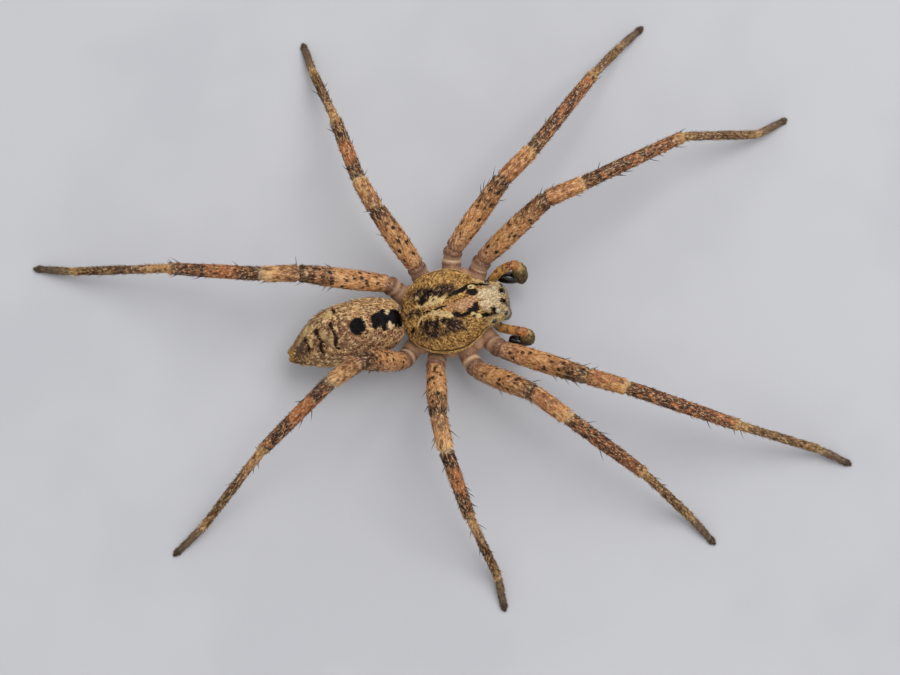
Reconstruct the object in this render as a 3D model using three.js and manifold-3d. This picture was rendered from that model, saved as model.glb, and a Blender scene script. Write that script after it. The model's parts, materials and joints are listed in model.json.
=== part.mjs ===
import * as THREE from "three";
import { mergeVertices } from "three/addons/utils/BufferGeometryUtils.js";
import Module from "manifold-3d";

// An adult male false wolf spider at life size, standing still with its legs spread.
// Millimetres, +Z up. The spider faces -Y and its own left side is +X, with the floor at z = 0.

const wasm = await Module();
wasm.setup();

// Driving dimensions: the gaps between neighbouring nodes
const JOINT_GAP = 0.3;
const EYE_GAP = 0.06;

// Cephalothorax: stations from the rear edge to the front of the head.
// y along the body, half: half width of the rim, top: ridge height, rim: height of the rim,
// belly: height of the underside, waist: half width of the underside block between the leg roots.
const PROSOMA = [
  { y: 2.26, half: 0.64, top: 2.92, rim: 2.64, belly: 2.3, waist: 0.3 },
  { y: 2.04, half: 1.22, top: 3.1, rim: 2.68, belly: 2.0, waist: 0.4 },
  { y: 1.7, half: 1.7, top: 3.36, rim: 2.7, belly: 1.6, waist: 0.55 },
  { y: 1.15, half: 2.14, top: 3.72, rim: 2.72, belly: 1.25, waist: 0.75 },
  { y: 0.6, half: 2.4, top: 3.98, rim: 2.74, belly: 1.15, waist: 0.92 },
  { y: -0.3, half: 2.55, top: 4.15, rim: 2.76, belly: 1.15, waist: 0.98 },
  { y: -1.2, half: 2.42, top: 4.22, rim: 2.76, belly: 1.15, waist: 0.92 },
  { y: -1.9, half: 2.02, top: 4.24, rim: 2.74, belly: 1.2, waist: 0.72 },
  { y: -2.4, half: 1.6, top: 4.2, rim: 2.7, belly: 1.3, waist: 0.62 },
  { y: -2.9, half: 1.34, top: 4.1, rim: 2.68, belly: 1.6, waist: 0.7 },
  { y: -3.4, half: 1.2, top: 3.9, rim: 2.72, belly: 2.2, waist: 0.9 },
  { y: -3.75, half: 1.02, top: 3.6, rim: 2.8, belly: 2.35, waist: 0.8 },
  { y: -3.95, half: 0.62, top: 3.28, rim: 2.88, belly: 2.55, waist: 0.48 },
];
const RIM_DEPTH = 0.22;
const FLANK_POWER = 0.9;
const CROWN_POWER = 0.95;
const PROSOMA_STEPS = 30;
const ARCH_STEPS = 16;

// Underside of the cephalothorax, from the rim inwards: the rim's lower edge as a share of the half
// width, the hollow over the leg roots, the upright side of the block, and the breastplate's bevel
const RIM_TUCK = 0.97;
const HOLLOW = { beside: 0.12, widest: 0.94, step: 0.04, upright: 0.4 };
const BREASTPLATE = { width: 0.72, bevel: 0.06 };

// Eyes: radius, station along the body and angle round the arch (90 is the ridge)
const EYES = [
  { name: "eye_posterior_median", radius: 0.18, y: -3.3, angle: 58 },
  { name: "eye_posterior_lateral", radius: 0.17, y: -2.98, angle: 26 },
  { name: "eye_anterior_lateral", radius: 0.16, y: -3.76, angle: 36 },
  { name: "eye_anterior_median", radius: 0.14, y: -3.84, angle: 66 },
];
const EYE_SINK = 0.35;
const SLOPE_STEP = { along: 0.05, round: 2 };

// Abdomen: stations from the waist to the tail. x and z: axis, half: half width,
// up and down: height of the back and depth of the belly from the axis.
const ABDOMEN = [
  { y: 2.58, x: 0.0, z: 2.8, half: 0.5, up: 0.42, down: 0.38 },
  { y: 2.7, x: 0.0, z: 2.8, half: 1.04, up: 0.92, down: 0.74 },
  { y: 3.05, x: -0.04, z: 2.82, half: 1.45, up: 1.34, down: 1.1 },
  { y: 3.8, x: -0.07, z: 2.85, half: 1.71, up: 1.6, down: 1.32 },
  { y: 5.0, x: -0.13, z: 2.82, half: 1.84, up: 1.72, down: 1.38 },
  { y: 6.2, x: -0.21, z: 2.74, half: 1.8, up: 1.62, down: 1.3 },
  { y: 7.2, x: -0.32, z: 2.62, half: 1.6, up: 1.4, down: 1.12 },
  { y: 8.0, x: -0.46, z: 2.48, half: 1.2, up: 1.08, down: 0.88 },
  { y: 8.45, x: -0.58, z: 2.38, half: 0.88, up: 0.76, down: 0.66 },
  { y: 8.66, x: -0.65, z: 2.33, half: 0.56, up: 0.48, down: 0.46 },
];
const ABDOMEN_STEPS = 24;
const ABDOMEN_SIDES = 24;

// Legs: segment lengths and radii of each pair, front to back, and the places of the
// leg root, the trochanter and the start of the femur on the spider's left side.
const PAIRS = [
  {
    femur: 5.9, patella: 2.4, tibia: 7.4, metatarsus: 5.5, tarsus: 2.1,
    root: [1.2, -2.15, 1.6], trochanter: [2.28, -2.72, 1.92], hip: [2.75, -3.1, 2.35],
  },
  {
    femur: 5.4, patella: 2.4, tibia: 6.4, metatarsus: 4.5, tarsus: 2.0,
    root: [1.44, -0.9, 1.6], trochanter: [3.15, -1.27, 1.92], hip: [3.7, -1.5, 2.35],
  },
  {
    femur: 4.4, patella: 2.1, tibia: 4.7, metatarsus: 4.3, tarsus: 2.0,
    root: [1.55, 0.42, 1.56], trochanter: [2.62, 0.74, 1.8], hip: [3.1, 0.9, 2.35],
  },
  {
    femur: 5.9, patella: 2.1, tibia: 6.4, metatarsus: 6.3, tarsus: 2.4,
    root: [1.26, 1.68, 1.6], trochanter: [2.0, 2.3, 1.92], hip: [2.35, 2.72, 2.35],
  },
];
const COXA_RADIUS = 0.48;
const TROCHANTER_RADIUS = 0.58;
const FEMUR_RADIUS = 0.52;
const FEMUR_BULGE = 0.1;
const KNEE_RADIUS = 0.5;
const KNEE_BULGE = 0.03;
const KNOB_RADIUS = 0.46;
const SHIN_RADIUS = 0.43;
const TIBIA_RADIUS = 0.36;
const ANKLE_RADIUS = 0.29;
const HEEL_RADIUS = 0.25;
const CLAW_RADIUS = 0.17;
const SLIGHT_BULGE = 0.02;
const JOINT_PINCH = 0.14;
const JOINT_PINCH_LENGTH = 0.16;
const CLAW_HEIGHT = 0.05;
const TOE_START = 0.9;
const TOE_BLUNTNESS = 1.1;
const ELBOW = 0.55;
const ELBOW_SHARE = 0.45;
const FLOOR_SLAB = { width: 120, depth: 4 };
const LEG_SIDES = 10;
const FOOT_SIDES = 8;
const BALL_SIDES = 9;

// Pose of each leg in degrees, femur to tarsus. swing: 0 is straight out to the spider's side
// and positive turns to its rear. rise: above the horizontal. The tarsus ends on the floor.
const POSE = {
  L: [
    { swing: [-63, -76, -72, -92, -70], rise: [40, -9, -19, -29] },
    { swing: [-50, -56, -48, -46, -56], rise: [33, 2, -13, -47] },
    { swing: [27, 19, 9, 12, 8], rise: [33, -5, -22, -30] },
    { swing: [78, 81, 71, 77, 72], rise: [31, 3, -24, -20] },
  ],
  R: [
    { swing: [-57, -62, -63, -66, -56], rise: [27, 7, -19, -24] },
    { swing: [-48, -43, -47, -40, -32], rise: [48, 0, -32, -33] },
    { swing: [8, -1, -10, -16, -1], rise: [44, 3, -34, -32] },
    { swing: [82, 69, 60, 52, 58], rise: [66, -17, -31, -30] },
  ],
};

// Palps: each one's root, bend and knee, the end of its swollen tip, and the bulb's two lobes
const PALP = {
  L: {
    path: [[1.42, -3.3, 1.85], [1.75, -3.8, 2.6], [1.92, -4.55, 3.15], [1.9, -5.0, 2.95]],
    tip: [1.1, -5.15, 1.5],
    bulb: [[1.35, -4.68, 1.85], [1.46, -4.22, 1.88]],
  },
  R: {
    path: [[1.42, -3.3, 1.85], [1.72, -3.75, 2.6], [2.0, -4.3, 3.1], [2.16, -4.7, 2.9]],
    tip: [2.5, -4.82, 1.5],
    bulb: [[2.42, -4.35, 1.8], [2.25, -3.95, 1.8]],
  },
};
const PALP_RADIUS = 0.29;
const PALP_BULGE = 0.04;
const CYMBIUM = { radius: 0.4, neck: 0.62, swell: 1.44, bluntness: 6, end: 1.02 };
const BULB_RADII = [0.35, 0.29];
const PALP_ELBOW = 0.25;

// Jaws: a stout segment under the front of the head and a fang folded in below it
const JAW = {
  top: [0.55, -3.56, 1.95],
  bulge: [0.59, -3.86, 1.4],
  end: [0.53, -3.84, 0.8],
  radius: 0.41,
  neck: 0.88,
  swell: 0.5,
  taper: 0.22,
};
const FANG = {
  base: [0.48, -3.7, 0.5],
  bend: [0.36, -3.35, 0.4],
  tip: [0.24, -2.85, 0.6],
  radius: 0.17,
  point: 0.05,
};

// Spinnerets: a short ring at the tail and pairs of cones round it
const SPINNER_BASE = { x: -0.72, y: 8.95, z: 2.3, radius: 0.42, length: 0.24, taper: 0.8 };
const SPINNERETS = [
  { side: 0.2, lift: -0.14, radius: 0.15, length: 0.34 },
  { side: 0.22, lift: 0.16, radius: 0.12, length: 0.28 },
];
const SPINNERET_TAPER = 0.6;
const SPINNERET_ROOT = 0.6;

// How far rings crowd towards the two ends of a body and of a leg segment: 0 is evenly spaced
const BODY_CROWDING = 0.55;
const SEGMENT_CROWDING = 0.4;

const UPWARD = new THREE.Vector3(0, 0, 1);
const SIDEWAYS = new THREE.Vector3(1, 0, 0);

const COLOURS = {
  carapace: "#8b6b3c",
  abdomen: "#b0895e",
  leg: "#b4763f",
  foot: "#6e5a3e",
  coxa: "#a4765a",
  jaw: "#4a3324",
  fang: "#1d1512",
  eye: "#14110f",
  paleEye: "#c9c2a2",
  spinneret: "#b98a45",
};
const HAIRY = 0.75;
const HARD = 0.35;
const SMOOTH = 0.15;
const material = (colour, roughness = HAIRY) =>
  new THREE.MeshStandardMaterial({ color: colour, roughness, metalness: 0 });

const spider = new THREE.Group();

function addNode(name, geometry, colour, roughness) {
  const mesh = new THREE.Mesh(geometry, material(colour, roughness));
  mesh.name = name;
  mesh.geometry.computeVertexNormals();
  spider.add(mesh);
}

// A closed surface through rings of points, each ring with the same count, capped by a fan at both ends
function loft(rings) {
  const sides = rings[0].length;
  const points = rings.flat();
  const faces = [];
  for (let i = 0; i + 1 < rings.length; i++) {
    for (let j = 0; j < sides; j++) {
      const a = i * sides + j;
      const b = i * sides + ((j + 1) % sides);
      faces.push(a, b, a + sides, b, b + sides, a + sides);
    }
  }
  const centre = (ring) =>
    ring.reduce((sum, p) => sum.add(p), new THREE.Vector3()).divideScalar(sides);
  const first = points.length;
  const last = first + 1;
  points.push(centre(rings[0]), centre(rings[rings.length - 1]));
  const end = (rings.length - 1) * sides;
  for (let j = 0; j < sides; j++) {
    const k = (j + 1) % sides;
    faces.push(first, k, j, last, end + j, end + k);
  }
  const geometry = new THREE.BufferGeometry().setFromPoints(points);
  geometry.setIndex(faces);
  return geometry;
}

// Joins and cuts: geometry to solid and back
function solid(geometry) {
  const bare = geometry.clone();
  bare.deleteAttribute("normal");
  bare.deleteAttribute("uv");
  const merged = mergeVertices(bare, 1e-4);
  return new wasm.Manifold(
    new wasm.Mesh({
      numProp: 3,
      vertProperties: new Float32Array(merged.attributes.position.array),
      triVerts: new Uint32Array(merged.index.array),
    }),
  );
}

function largestBody(shape) {
  const bodies = shape.decompose().sort((a, b) => b.volume() - a.volume());
  const mesh = bodies[0].getMesh();
  const geometry = new THREE.BufferGeometry();
  geometry.setAttribute("position", new THREE.BufferAttribute(new Float32Array(mesh.vertProperties), 3));
  geometry.setIndex(new THREE.BufferAttribute(new Uint32Array(mesh.triVerts), 1));
  return geometry;
}

const union = (geometries) =>
  largestBody(geometries.map(solid).reduce((all, shape) => all.add(shape)));

// Smooth value of one field between stations, at y
function stationValue(stations, field, y) {
  const step = stations[1].y > stations[0].y ? 1 : -1;
  const last = stations.length - 1;
  let i = 0;
  while (i < last - 1 && step * (y - stations[i + 1].y) > 0) i++;
  const nearest = (k) => stations[THREE.MathUtils.clamp(k, 0, last)];
  const [p0, p1, p2, p3] = [i - 1, i, i + 1, i + 2].map(nearest);
  const t = THREE.MathUtils.clamp((y - p1.y) / (p2.y - p1.y), 0, 1);
  const slope = (a, b) => (b.y === a.y ? 0 : (b[field] - a[field]) / (b.y - a.y));
  const span = p2.y - p1.y;
  const m1 = slope(p0, p2) * span;
  const m2 = slope(p1, p3) * span;
  const h = 3 * t * t - 2 * t * t * t;
  return p1[field] * (1 - h) + p2[field] * h + m1 * (t - 2 * t * t + t * t * t) + m2 * (t * t * t - t * t);
}

// Fractions from 0 to 1, closer together at both ends
function crowded(steps, crowding) {
  return Array.from({ length: steps + 1 }, (_, i) => {
    const u = i / steps;
    const eased = 0.5 - 0.5 * Math.cos(Math.PI * u);
    return u + (eased - u) * crowding;
  });
}

function stationPlaces(stations, steps) {
  const start = stations[0].y;
  const end = stations[stations.length - 1].y;
  return crowded(steps, BODY_CROWDING).map((u) => start + (end - start) * u);
}

// A point of the arched back of the cephalothorax: angle 0 is its left rim and 180 its right
function archPoint(y, angle) {
  const a = THREE.MathUtils.degToRad(angle);
  const half = stationValue(PROSOMA, "half", y);
  const rim = stationValue(PROSOMA, "rim", y);
  const top = stationValue(PROSOMA, "top", y);
  const flank = Math.sign(Math.cos(a)) * Math.pow(Math.abs(Math.cos(a)), FLANK_POWER);
  return new THREE.Vector3(half * flank, y, rim + (top - rim) * Math.pow(Math.sin(a), CROWN_POWER));
}

function prosomaRing(y) {
  const arch = Array.from({ length: ARCH_STEPS + 1 }, (_, i) => archPoint(y, (180 * i) / ARCH_STEPS));
  const half = stationValue(PROSOMA, "half", y);
  const rim = stationValue(PROSOMA, "rim", y);
  const waist = stationValue(PROSOMA, "waist", y);
  const belly = stationValue(PROSOMA, "belly", y);
  const under = rim - RIM_DEPTH;
  const inner = Math.min(waist + HOLLOW.beside, half * HOLLOW.widest);
  const right = [
    new THREE.Vector3(-half * RIM_TUCK, y, under),
    new THREE.Vector3(-inner, y, under - HOLLOW.step),
    new THREE.Vector3(-waist, y, belly + (under - belly) * HOLLOW.upright),
    new THREE.Vector3(-waist * BREASTPLATE.width, y, belly + BREASTPLATE.bevel),
  ];
  const left = right.map((p) => new THREE.Vector3(-p.x, p.y, p.z)).reverse();
  return [...arch, ...right, new THREE.Vector3(0, y, belly), ...left];
}

// The middle of an eye, sunk a little below the head's surface
function eyePlace(eye, side) {
  const across = side === "L" ? eye.angle : 180 - eye.angle;
  const { along, round } = SLOPE_STEP;
  const forward = archPoint(eye.y - along, across).sub(archPoint(eye.y + along, across));
  const outward = archPoint(eye.y, across + round).sub(archPoint(eye.y, across - round));
  outward.cross(forward).normalize();
  return archPoint(eye.y, across).addScaledVector(outward, -EYE_SINK * eye.radius);
}

function ball(radius, centre) {
  const shape = new THREE.SphereGeometry(radius, BALL_SIDES, BALL_SIDES - 3);
  return shape.translate(centre.x, centre.y, centre.z);
}

const eyes = ["L", "R"].flatMap((side) =>
  EYES.map((eye) => ({ ...eye, side, centre: eyePlace(eye, side) })),
);

// Each eye sits in a socket one gap wider than itself
function buildProsoma() {
  const rings = stationPlaces(PROSOMA, PROSOMA_STEPS).map(prosomaRing);
  const shell = solid(loft(rings));
  const sockets = eyes.map((eye) => solid(ball(eye.radius + EYE_GAP, eye.centre)));
  const pierced = sockets.reduce((body, socket) => body.subtract(socket), shell);
  addNode("cephalothorax", largestBody(pierced), COLOURS.carapace);
}

function buildEyes() {
  for (const eye of eyes) {
    const colour = eye.name === "eye_posterior_median" ? COLOURS.paleEye : COLOURS.eye;
    addNode(`${eye.name}_${eye.side}`, ball(eye.radius, eye.centre), colour, SMOOTH);
  }
}

function buildAbdomen() {
  const rings = stationPlaces(ABDOMEN, ABDOMEN_STEPS).map((y) => {
    const value = (field) => stationValue(ABDOMEN, field, y);
    return Array.from({ length: ABDOMEN_SIDES }, (_, j) => {
      const a = (-2 * Math.PI * j) / ABDOMEN_SIDES;
      const width = value("half") * Math.cos(a);
      const height = value(Math.sin(a) > 0 ? "up" : "down") * Math.sin(a);
      return new THREE.Vector3(value("x") + width, y, value("z") + height);
    });
  });
  addNode("abdomen", loft(rings), COLOURS.abdomen);
}

// A path of straight lengths with rounded bends, and the distance along it of each bend's middle
function roundedPath(points, elbow) {
  const path = new THREE.CurvePath();
  const joints = [0];
  let from = points[0];
  let length = 0;
  const extend = (curve) => {
    path.add(curve);
    length += curve.getLength();
  };
  for (let i = 1; i + 1 < points.length; i++) {
    const [back, ahead] = [points[i - 1], points[i + 1]].map((p) => ELBOW_SHARE * points[i].distanceTo(p));
    const reach = Math.min(elbow, back, ahead);
    const before = points[i].clone().sub(points[i - 1]).setLength(reach);
    const after = points[i + 1].clone().sub(points[i]).setLength(reach);
    const entry = points[i].clone().sub(before);
    const exit = points[i].clone().add(after);
    extend(new THREE.LineCurve3(from, entry));
    const bend = new THREE.QuadraticBezierCurve3(entry, points[i], exit);
    joints.push(length + bend.getLength() / 2);
    extend(bend);
    from = exit;
  }
  extend(new THREE.LineCurve3(from, points[points.length - 1]));
  joints.push(length);
  return { path, joints, length };
}

// Rings round a path from one distance to another; radiusAt takes the fraction along the stretch.
// Each end face lies half a gap from the middle of its joint and parallel to it. The path never
// runs along the reference direction, from which the rings' corners are counted.
function tube(route, from, to, sides, steps, radiusAt, reference = UPWARD) {
  const half = JOINT_GAP / 2;
  const joint = { [0]: Math.max(from - half, 0), [steps]: Math.min(to + half, route.length) };
  const rings = crowded(steps, SEGMENT_CROWDING).map((u, i) => {
    const place = from + (to - from) * u;
    const centre = route.path.getPoint(place / route.length);
    const along = route.path.getTangent((joint[i] ?? place) / route.length);
    const across = along.clone().cross(reference).normalize();
    const over = across.clone().cross(along);
    return Array.from({ length: sides }, (_, j) => {
      const a = (2 * Math.PI * (j + 0.5)) / sides;
      const spoke = across.clone().multiplyScalar(Math.cos(a)).addScaledVector(over, -Math.sin(a));
      return centre.clone().addScaledVector(spoke, radiusAt(u));
    });
  });
  return loft(rings);
}

// Radius along a segment, slightly drawn in at both of its joints
function segmentRadius(start, end, bulge, length) {
  return (u) => {
    const neck = Math.min(u, 1 - u) * length;
    const drawnIn = 1 - JOINT_PINCH * Math.exp(-neck / JOINT_PINCH_LENGTH);
    return (start + (end - start) * u + bulge * Math.sin(Math.PI * u)) * drawnIn;
  };
}

// Places are given for the spider's left side: a sign of -1 moves them to its right
const mirroredTo = (sign) => ([x, y, z]) => new THREE.Vector3(sign * x, y, z);

// Joints of one leg, from its root beside the belly to its claws
function legJoints(side, pair) {
  const sign = side === "L" ? 1 : -1;
  const size = PAIRS[pair];
  const { swing, rise } = POSE[side][pair];
  const joints = [size.root, size.trochanter, size.hip].map(mirroredTo(sign));
  const extend = (length, turn, lift) => {
    const flat = length * Math.cos(lift);
    const offset = [flat * Math.cos(turn), flat * Math.sin(turn), length * Math.sin(lift)];
    joints.push(joints[joints.length - 1].clone().add(mirroredTo(sign)(offset)));
  };
  const radians = THREE.MathUtils.degToRad;
  ["femur", "patella", "tibia", "metatarsus"].forEach((part, i) =>
    extend(size[part], radians(swing[i]), radians(rise[i])),
  );
  const heel = joints[joints.length - 1].z;
  extend(size.tarsus, radians(swing[4]), -Math.asin((heel - CLAW_HEIGHT) / size.tarsus));
  return joints;
}

// The patella swells a little and ends in a knob, and the tibia narrows from there to the ankle
function shinRadius(patellaShare, length) {
  const tibiaShare = 1 - patellaShare;
  const patella = segmentRadius(KNEE_RADIUS, KNOB_RADIUS, KNEE_BULGE, length * patellaShare);
  const tibia = segmentRadius(SHIN_RADIUS, TIBIA_RADIUS, SLIGHT_BULGE, length * tibiaShare);
  return (u) => (u < patellaShare ? patella(u / patellaShare) : tibia((u - patellaShare) / tibiaShare));
}

// The tarsus narrows to a blunt round end
function footRadius(length) {
  const body = segmentRadius(HEEL_RADIUS, CLAW_RADIUS, SLIGHT_BULGE, length);
  const roundOff = (u) => Math.sqrt(TOE_BLUNTNESS - Math.pow((u - TOE_START) / (1 - TOE_START), 2));
  return (u) => (u < TOE_START ? body(u) : body(TOE_START) * roundOff(u));
}

// What a foot loses below the floor leaves it standing on a small flat
const slab = new THREE.BoxGeometry(FLOOR_SLAB.width, FLOOR_SLAB.width, FLOOR_SLAB.depth);
const floorSlab = solid(slab.translate(0, 0, -FLOOR_SLAB.depth / 2));

// The nodes of one leg: each stretch of its path between two joints, half a gap short at both ends
function buildLeg(side, pair) {
  const route = roundedPath(legJoints(side, pair), ELBOW);
  const [root, , hip, knee, knob, ankle, heel, claw] = route.joints;
  const half = JOINT_GAP / 2;
  const add = (name, from, to, sides, steps, colour, radius) => {
    const shape = tube(route, from, to, sides, steps, radius);
    const standing = name === "tarsus" ? largestBody(solid(shape).subtract(floorSlab)) : shape;
    addNode(`leg_${side}${pair + 1}_${name}`, standing, colour);
  };
  const coxa = segmentRadius(COXA_RADIUS, TROCHANTER_RADIUS, SLIGHT_BULGE, hip - root);
  const femur = segmentRadius(FEMUR_RADIUS, KNEE_RADIUS, FEMUR_BULGE, knee - hip);
  const shin = shinRadius((knob - knee) / (ankle - knee), ankle - knee);
  const metatarsus = segmentRadius(ANKLE_RADIUS, HEEL_RADIUS, 0, heel - ankle);
  add("coxa", root, hip - half, LEG_SIDES, 6, COLOURS.coxa, coxa);
  add("femur", hip + half, knee - half, LEG_SIDES, 8, COLOURS.leg, femur);
  add("patella_tibia", knee + half, ankle - half, LEG_SIDES, 12, COLOURS.leg, shin);
  add("metatarsus", ankle + half, heel - half, FOOT_SIDES, 6, COLOURS.foot, metatarsus);
  add("tarsus", heel + half, claw, FOOT_SIDES, 6, COLOURS.foot, footRadius(claw - heel));
}

// A palp is a small leg in two nodes: its shaft up to the knee, and the swollen tip with its dark bulb
function buildPalp(side) {
  const place = mirroredTo(side === "L" ? 1 : -1);
  const { path, tip, bulb } = PALP[side];
  const route = roundedPath([...path, tip].map(place), PALP_ELBOW);
  const [root, , , knee, end] = route.joints;
  const half = JOINT_GAP / 2;
  const shaft = segmentRadius(PALP_RADIUS, PALP_RADIUS, PALP_BULGE, knee - root);
  addNode(`palp_${side}`, tube(route, root, knee - half, FOOT_SIDES, 10, shaft, SIDEWAYS), COLOURS.leg);
  const swelling = (u) => {
    const roundedEnd = Math.sqrt(CYMBIUM.end - Math.pow(u, CYMBIUM.bluntness));
    return CYMBIUM.radius * (CYMBIUM.neck + CYMBIUM.swell * u * (1 - u)) * roundedEnd;
  };
  const cymbium = tube(route, knee + half, end, FOOT_SIDES, 8, swelling, SIDEWAYS);
  const lobes = bulb.map((centre, i) => ball(BULB_RADII[i], place(centre)));
  addNode(`palp_tip_${side}`, union([cymbium, ...lobes]), COLOURS.foot);
}

// A stout jaw under the front of the head, and the fang folded in below it
function buildJaw(side) {
  const place = mirroredTo(side === "L" ? 1 : -1);
  const jaw = roundedPath([JAW.top, JAW.bulge, JAW.end].map(place), JAW.radius);
  const jawRadius = (u) => JAW.radius * (JAW.neck + JAW.swell * u * (1 - u) - JAW.taper * u * u);
  addNode(`jaw_${side}`, tube(jaw, 0, jaw.length, LEG_SIDES, 8, jawRadius, SIDEWAYS), COLOURS.jaw, HARD);
  const fang = roundedPath([FANG.base, FANG.bend, FANG.tip].map(place), FANG.radius);
  const fangRadius = (u) => FANG.radius + (FANG.point - FANG.radius) * u;
  const claw = tube(fang, 0, fang.length, FOOT_SIDES, 7, fangRadius, SIDEWAYS);
  addNode(`fang_${side}`, claw, COLOURS.fang, HARD);
}

// A short ring at the tail with two pairs of blunt cones rooted in it
function buildSpinnerets() {
  const { x, y, z, radius, length, taper } = SPINNER_BASE;
  const cone = (width, tip, reach, at) => {
    const shape = new THREE.CylinderGeometry(tip, width, reach, FOOT_SIDES);
    return shape.translate(at[0], at[1] + reach / 2, at[2]);
  };
  const rootY = y + length * SPINNERET_ROOT;
  const cones = SPINNERETS.flatMap((pair) =>
    [-1, 1].map((sign) => {
      const at = [x + sign * pair.side, rootY, z + pair.lift];
      return cone(pair.radius, pair.radius * SPINNERET_TAPER, pair.length, at);
    }),
  );
  const base = cone(radius, radius * taper, length, [x, y, z]);
  addNode("spinnerets", union([base, ...cones]), COLOURS.spinneret);
}

buildProsoma();
buildEyes();
buildAbdomen();
buildSpinnerets();
for (const side of ["L", "R"]) {
  buildJaw(side);
  buildPalp(side);
  PAIRS.forEach((_, pair) => buildLeg(side, pair));
}

// The origin is under the middle of the whole animal, on the floor
const reach = new THREE.Box3().setFromObject(spider);
const middle = reach.getCenter(new THREE.Vector3());
spider.position.set(-middle.x, -middle.y, 0);

export default spider;
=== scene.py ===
# %% [markdown]
# # A false wolf spider, life-size, as a still model
#
# The CAD model holds the animal's true sizes: body, legs, palps, jaws and eyes. It is loaded first and
# stays where it is. Everything here is dressed round it: one skin in place of the plain solids, finer eyes
# and fangs, claws, a coat of short hairs and spines, and the markings that skin and coat share.

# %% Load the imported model
import json
import math
import bmesh
import bpy
import mathutils
import numpy as np
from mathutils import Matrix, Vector

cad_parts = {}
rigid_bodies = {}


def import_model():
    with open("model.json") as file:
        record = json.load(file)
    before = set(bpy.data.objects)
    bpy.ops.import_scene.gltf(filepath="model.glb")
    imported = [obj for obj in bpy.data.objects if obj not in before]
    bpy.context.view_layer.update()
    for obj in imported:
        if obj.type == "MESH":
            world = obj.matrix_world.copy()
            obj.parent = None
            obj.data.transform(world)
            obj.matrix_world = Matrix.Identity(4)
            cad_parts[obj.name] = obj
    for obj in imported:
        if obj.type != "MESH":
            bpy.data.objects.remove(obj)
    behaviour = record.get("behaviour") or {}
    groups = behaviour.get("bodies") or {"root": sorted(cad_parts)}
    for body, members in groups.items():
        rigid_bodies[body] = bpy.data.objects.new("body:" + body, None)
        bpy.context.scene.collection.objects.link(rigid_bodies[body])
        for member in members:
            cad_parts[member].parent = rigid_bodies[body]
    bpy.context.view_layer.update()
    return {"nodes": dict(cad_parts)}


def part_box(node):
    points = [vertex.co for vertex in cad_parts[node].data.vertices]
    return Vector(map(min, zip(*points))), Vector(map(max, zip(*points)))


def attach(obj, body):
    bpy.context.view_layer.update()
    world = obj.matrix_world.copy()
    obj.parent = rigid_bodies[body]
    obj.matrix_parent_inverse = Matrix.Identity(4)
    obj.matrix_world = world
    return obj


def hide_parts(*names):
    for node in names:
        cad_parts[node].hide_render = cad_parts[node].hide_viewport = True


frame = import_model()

# %% [markdown]
# The animal is small, so the script counts in millimetres and turns them to metres only where a mesh is
# made. It also keeps the body's own frame, with x = 0 in the middle of the back, as the legs are measured
# from there. The CAD's origin lies under the middle of the whole pose instead, so one shift joins the two.
# The shift is read from the frame: the cephalothorax is symmetrical and starts at a known station.

# %% Millimetres of the body to metres of the scene
MM = 0.001
HEAD_FRONT = -3.95
head_low, head_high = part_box("cephalothorax")
SHIFT = np.array([(head_low.x + head_high.x) / 2 / MM, head_low.y / MM - HEAD_FRONT, 0.0])


def to_scene(points):
    return (np.asarray(points, float) + SHIFT) * MM


print("body frame starts at", SHIFT.round(3), "mm")

# %% [markdown]
# ## The camera
#
# The photo looks almost straight down, from a hand's breadth above the right front of the animal. The
# camera comes first, so that every later piece can be judged from the photo's own place. Its aim, turn
# and distance were fitted to the joints of the eight legs, and the lens gives 17 pixels to a millimetre.

# %% Camera
VIEW_AZIMUTH = 259.0
VIEW_ELEVATION = 81.0
VIEW_DISTANCE = 150.0
VIEW_TARGET = (-1.596, -0.257, 3.0)
PIXELS_PER_MM = 17.08
IMAGE_WIDTH = 900
SENSOR = 36.0
NEAREST_SEEN, FURTHEST_SEEN = 0.005, 5.0


def view_direction(azimuth, elevation):
    """Unit vector from the target back to the camera; azimuth 0 looks along +Y."""
    a, e = math.radians(azimuth), math.radians(elevation)
    return Vector((math.sin(a) * math.cos(e), -math.cos(a) * math.cos(e), math.sin(e)))


back = view_direction(VIEW_AZIMUTH, VIEW_ELEVATION)
camera = bpy.data.objects.new("camera", bpy.data.cameras.new("camera"))
camera.data.sensor_width = SENSOR
camera.data.lens = PIXELS_PER_MM * VIEW_DISTANCE * SENSOR / IMAGE_WIDTH
camera.data.clip_start = NEAREST_SEEN
camera.data.clip_end = FURTHEST_SEEN
camera.location = Vector(to_scene(VIEW_TARGET)) + back * VIEW_DISTANCE * MM
camera.rotation_euler = (-back).to_track_quat("-Z", "Y").to_euler()
bpy.context.scene.collection.objects.link(camera)
bpy.context.scene.camera = camera
print("lens", round(camera.data.lens, 1), "mm")

# %% [markdown]
# ## Measures
#
# The tables below repeat the CAD's driving sizes: stations along the cephalothorax and the abdomen, the
# lengths of each leg's segments, and the turn and rise of each segment in this pose. The skin follows the
# same lines, a hair's depth inside the solids, so that hair tips end where the solids end.

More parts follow.
